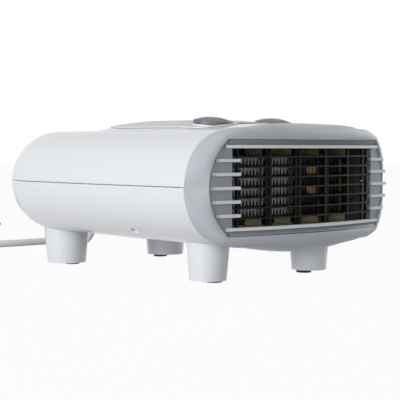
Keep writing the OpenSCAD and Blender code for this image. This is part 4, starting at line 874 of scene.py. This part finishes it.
def skin_line(angle, inset, back):
    way = ray_way(angle)
    power = 2 / (1 + LIP_FULLNESS * abs(math.sin(angle)) ** LIP_ONSET)
    swelling = swell(angle)
    front, rear = outline_front(way), outline_back(way, inset)
    y_edge = nose_at(front * way[0]) + back
    line = []
    for k in range(SKIN_STEPS + 1):
        bend = math.pi / 2 * k / SKIN_STEPS
        out = 0.0 if k == SKIN_STEPS else math.cos(bend) ** power
        forward = 1.0 if k == SKIN_STEPS else math.sin(bend) ** power
        reach = front + (rear - front) * out
        line.append((reach * way[0], RING_BACK + (y_edge - RING_BACK) * forward,
                     MID_Z + reach * way[1] + swelling * math.sin(2 * bend)))
    return line


def collar_point(angle, inset, y):
    way = ray_way(angle)
    reach = outline_back(way, inset)
    return (reach * way[0], RING_BACK + y, MID_Z + reach * way[1])


corner_angle = math.atan2(LIP_Z / CROWN_RISE, OPENING_CORNER_X / HALF_W)
quarter = [corner_angle * k / SIDE_STATIONS for k in range(SIDE_STATIONS)]
quarter += [corner_angle + (math.pi / 2 - corner_angle) * k / LIP_STATIONS for k in range(LIP_STATIONS)]
stations = quarter + [math.pi / 2] + [math.pi - a for a in reversed(quarter[1:])]
stations += [math.pi + a for a in quarter] + [1.5 * math.pi]
stations += [2 * math.pi - a for a in reversed(quarter[1:])]
profiles = [skin_line(a, 0.0, 0.0) + skin_line(a, COLLAR_IN, LIP_T)[::-1]
            + [collar_point(a, COLLAR_IN, COLLAR_LEN), collar_point(a, COLLAR_OUT, COLLAR_LEN),
               collar_point(a, COLLAR_OUT, 0.0)] for a in stations]
around, along = len(profiles), len(profiles[0])
ring_faces = [(i * along + j, i * along + (j + 1) % along, (i + 1) % around * along + (j + 1) % along,
               (i + 1) % around * along + j) for i in range(around) for j in range(along)]
surround = new_piece("surround", [p for line in profiles for p in line], ring_faces,
                     FINISHES["surround_grey"])
if signed_volume(surround) < 0:
    surround.data.flip_normals()
soften(surround, RING_ROUND, 3, 50)
smooth(surround, 45)
stand_for(surround, "heater", "surround_grey", "front_surround")
print("surround faces:", len(surround.data.polygons))

# %% [markdown]
# The heating element is a flat alloy ribbon, crimped into close waves and strung in rows between mica
# boards. One Geometry Nodes tree makes it: a strip is bent into waves, and the strip is repeated on a line
# of points. A small Solidify then gives the ribbon its thickness. It could be modelled wave by wave, but here
# the crimp, the pitch and the count of rows stay single numbers.

# %% Heating ribbon
ribbon_low, ribbon_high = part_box("heating_ribbon")
RIBBON_ROWS = 6
ROW_PITCH = 8.8 * MM
CRIMP_HEIGHT = 6.4 * MM
RIBBON_T = 0.3 * MM
POINTS_ALONG, POINTS_ACROSS = 593, 2
RIBBON_INPUTS = [
    ("Row length", "NodeSocketFloat", ribbon_high.x - ribbon_low.x),
    ("Ribbon width", "NodeSocketFloat", ribbon_high.y - ribbon_low.y),
    ("Crimp length", "NodeSocketFloat", CRIMP_LENGTH),
    ("Crimp height", "NodeSocketFloat", CRIMP_HEIGHT),
    ("Row pitch", "NodeSocketFloat", ROW_PITCH),
    ("Rows", "NodeSocketInt", RIBBON_ROWS),
]

tree = bpy.data.node_groups.new("crimped_ribbon", "GeometryNodeTree")
tree.interface.new_socket("Geometry", in_out="OUTPUT", socket_type="NodeSocketGeometry")
settings = {}
for name, kind, value in RIBBON_INPUTS:
    socket = tree.interface.new_socket(name, in_out="INPUT", socket_type=kind)
    socket.default_value = value
    settings[socket.identifier] = value
nodes, links = tree.nodes, tree.links
given = nodes.new("NodeGroupInput")
strip = nodes.new("GeometryNodeMeshGrid")
strip.inputs["Vertices X"].default_value = POINTS_ALONG
strip.inputs["Vertices Y"].default_value = POINTS_ACROSS
links.new(given.outputs["Row length"], strip.inputs["Size X"])
links.new(given.outputs["Ribbon width"], strip.inputs["Size Y"])
place = nodes.new("GeometryNodeInputPosition")
along = add_parts(tree, place.outputs["Position"])["X"]
turns = add_math(tree, "DIVIDE", along, given.outputs["Crimp length"])
wave = add_math(tree, "SINE", add_math(tree, "MULTIPLY", turns, 2 * math.pi))
lift = add_math(tree, "MULTIPLY", add_math(tree, "MULTIPLY", wave, given.outputs["Crimp height"]), 0.5)
offset = nodes.new("ShaderNodeCombineXYZ")
links.new(lift, offset.inputs["Z"])
bend = nodes.new("GeometryNodeSetPosition")
links.new(strip.outputs["Mesh"], bend.inputs["Geometry"])
links.new(offset.outputs["Vector"], bend.inputs["Offset"])
rows = nodes.new("GeometryNodeMeshLine")
step = nodes.new("ShaderNodeCombineXYZ")
links.new(given.outputs["Row pitch"], step.inputs["Z"])
links.new(given.outputs["Rows"], rows.inputs["Count"])
links.new(step.outputs["Vector"], rows.inputs["Offset"])
strung = nodes.new("GeometryNodeInstanceOnPoints")
links.new(rows.outputs["Mesh"], strung.inputs["Points"])
links.new(bend.outputs["Geometry"], strung.inputs["Instance"])
real = nodes.new("GeometryNodeRealizeInstances")
links.new(strung.outputs["Instances"], real.inputs["Geometry"])
dressed = nodes.new("GeometryNodeSetMaterial")
dressed.inputs["Material"].default_value = FINISHES["ribbon_alloy"]
links.new(real.outputs["Geometry"], dressed.inputs["Geometry"])
result = nodes.new("NodeGroupOutput")
links.new(dressed.outputs["Geometry"], result.inputs["Geometry"])

ribbon = new_piece("crimped_ribbon", [(0, 0, 0)], [], FINISHES["ribbon_alloy"])
maker = ribbon.modifiers.new("rows", "NODES")
maker.node_group = tree
for identifier, value in settings.items():
    maker[identifier] = value
thicken = ribbon.modifiers.new("thickness", "SOLIDIFY")
thicken.thickness = RIBBON_T
thicken.offset = 0.0
baked(ribbon)
middle = (ribbon_low + ribbon_high) / 2
half_stack = (RIBBON_ROWS - 1) / 2 * ROW_PITCH
ribbon.data.transform(Matrix.Translation(middle - Vector((0, 0, half_stack))))

# Two rows are painted golden over a short stretch, and each crimp there again gets painted light on one slope
# and painted shade on the other.
GOLDEN_ROWS = (2, 4)
GOLDEN_FROM, GOLDEN_TO = 33.0 * MM, 48.0 * MM
golden_finish = make_finish("golden_alloy", colour(255, 222, 160), 0.40, metallic=0.25)
striped_by_crimp(golden_finish, colour(255, 226, 168), colour(170, 110, 48))
ribbon.data.materials.append(golden_finish)
golden_index = len(ribbon.data.materials) - 1
first_row = middle.z - half_stack
for face in ribbon.data.polygons:
    row = round((face.center.z - first_row) / ROW_PITCH)
    if row in GOLDEN_ROWS and GOLDEN_FROM < face.center.x < GOLDEN_TO:
        face.material_index = golden_index
smooth(ribbon, 60)
stand_for(ribbon, "heater", "ribbon_alloy", "heating_ribbon")
print("ribbon faces:", len(ribbon.data.polygons))

# %% [markdown]
# A CAD node's mesh is loose triangles, so a curved one shows its facets. A copy of it with its doubles
# merged can be shaded smooth, and stands for the node.

# %% Smooth copies of curved nodes
MERGE_DISTANCE = 0.01 * MM
body_of_node = {node: body for body, members in frame["record"]["behaviour"]["bodies"].items()
                for node in members}


def smooth_copy(node, angle):
    mesh = frame["nodes"][node].data.copy()
    work = bmesh.new()
    work.from_mesh(mesh)
    bmesh.ops.remove_doubles(work, verts=work.verts, dist=MERGE_DISTANCE)
    work.to_mesh(mesh)
    work.free()
    mesh.name = node + "_smooth"
    piece = bpy.data.objects.new(node + "_smooth", mesh)
    bpy.context.scene.collection.objects.link(piece)
    mesh.materials.clear()
    mesh.materials.append(FINISHES[slot_of[node]])
    smooth(piece, angle)
    return stand_for(piece, body_of_node[node], slot_of[node], node)


ROUND_NODES = ("selector_knob", "thermostat_knob", "foot_pads", "fan_wheel", "strain_relief", "fan_shroud",
               "motor_shaft", "motor_rotor", "casing_screws")
FINNED_NODES = ("outlet_grille", "front_frame")
copies = {node: smooth_copy(node, 30) for node in ROUND_NODES}
copies.update({node: smooth_copy(node, 5) for node in FINNED_NODES})
# The frame takes its grey with painted shade and the fins' painted highlight.
copies["front_frame"].data.materials[0] = FRAME_SHADE_AND_HIGHLIGHT
print("smooth copies:", len(copies))

# %% [markdown]
# The set is a white sweep. The floor keeps a faint shadow, but shows the camera mostly plain white, and the
# world is white to the camera and to reflections and a calm grey to everything else. A lit white floor would
# need so much light that the casing lost its shading.

# %% Floor and world
FLOOR_HALF = 6.0
FLOOR_SHADE = (0.42, 0.42, 0.42, 1.0)
FLOOR_SHOWN_WHITE = 0.96
WORLD_FILL = 0.16
WHITE = (1.0, 1.0, 1.0, 1.0)
floor_mesh = bpy.data.meshes.new("floor")
floor_mesh.from_pydata([(-FLOOR_HALF, -FLOOR_HALF, 0), (FLOOR_HALF, -FLOOR_HALF, 0),
                        (FLOOR_HALF, FLOOR_HALF, 0), (-FLOOR_HALF, FLOOR_HALF, 0)],
                       [], [(0, 1, 2, 3)])
floor = bpy.data.objects.new("floor", floor_mesh)
bpy.context.scene.collection.objects.link(floor)


def seen_directly(tree):
    """One where a ray comes from the camera, a reflection or a clear medium."""
    path = tree.nodes.new("ShaderNodeLightPath").outputs
    either = add_math(tree, "MAXIMUM", path["Is Camera Ray"], path["Is Glossy Ray"])
    return add_math(tree, "MAXIMUM", either, path["Is Transmission Ray"])


def floor_finish():
    material = bpy.data.materials.new("floor_white")
    material.use_nodes = True
    tree = material.node_tree
    nodes, links = tree.nodes, tree.links
    nodes.clear()
    matt = nodes.new("ShaderNodeBsdfDiffuse")
    matt.inputs["Color"].default_value = FLOOR_SHADE
    bright = nodes.new("ShaderNodeEmission")
    bright.inputs["Color"].default_value = WHITE
    mix = nodes.new("ShaderNodeMixShader")
    links.new(add_math(tree, "MULTIPLY", seen_directly(tree), FLOOR_SHOWN_WHITE), mix.inputs["Fac"])
    links.new(matt.outputs["BSDF"], mix.inputs[1])
    links.new(bright.outputs["Emission"], mix.inputs[2])
    end = nodes.new("ShaderNodeOutputMaterial")
    links.new(mix.outputs["Shader"], end.inputs["Surface"])
    return material


floor_mesh.materials.append(floor_finish())
world = bpy.data.worlds.new("studio")
bpy.context.scene.world = world
world.use_nodes = True
nodes, links = world.node_tree.nodes, world.node_tree.links
nodes.clear()
blend = nodes.new("ShaderNodeMixShader")
links.new(seen_directly(world.node_tree), blend.inputs["Fac"])
for index, strength in ((1, WORLD_FILL), (2, 1.0)):
    white = nodes.new("ShaderNodeBackground")
    white.inputs["Color"].default_value = WHITE
    white.inputs["Strength"].default_value = strength
    links.new(white.outputs["Background"], blend.inputs[index])
world_out = nodes.new("ShaderNodeOutputWorld")
links.new(blend.outputs["Shader"], world_out.inputs["Surface"])

# %% [markdown]
# Four broad lamps light the heater: a strong one at its left, and weaker ones above, at the front left and at
# the right. A small lamp or a sun would work too, but the larger a lamp is, the softer its shadow's edge.

# %% Lamps


def soft_lamp(name, place, target, size, power):
    lamp_data = bpy.data.lights.new(name, "AREA")
    lamp_data.shape = "RECTANGLE"
    lamp_data.size, lamp_data.size_y = size
    lamp_data.energy = power
    lamp = bpy.data.objects.new(name, lamp_data)
    lamp.location = place
    lamp.rotation_euler = (Vector(target) - Vector(place)).to_track_quat("-Z", "Y").to_euler()
    bpy.context.scene.collection.objects.link(lamp)


soft_lamp("key_left", (-1.9, -0.1, 0.25), (0, 0, 0.08), (1.2, 0.6), 24)
soft_lamp("top_fill", (0.1, 0.1, 1.9), (0, 0, 0.08), (1.6, 1.6), 7)
soft_lamp("front_left", (-1.1, -1.5, 0.35), (0, -0.1, 0.08), (0.5, 0.4), 5.5)
soft_lamp("right", (1.7, -0.4, 0.7), (0, -0.1, 0.1), (1.4, 1.2), 10)
bpy.context.scene.view_settings.view_transform = "Standard"
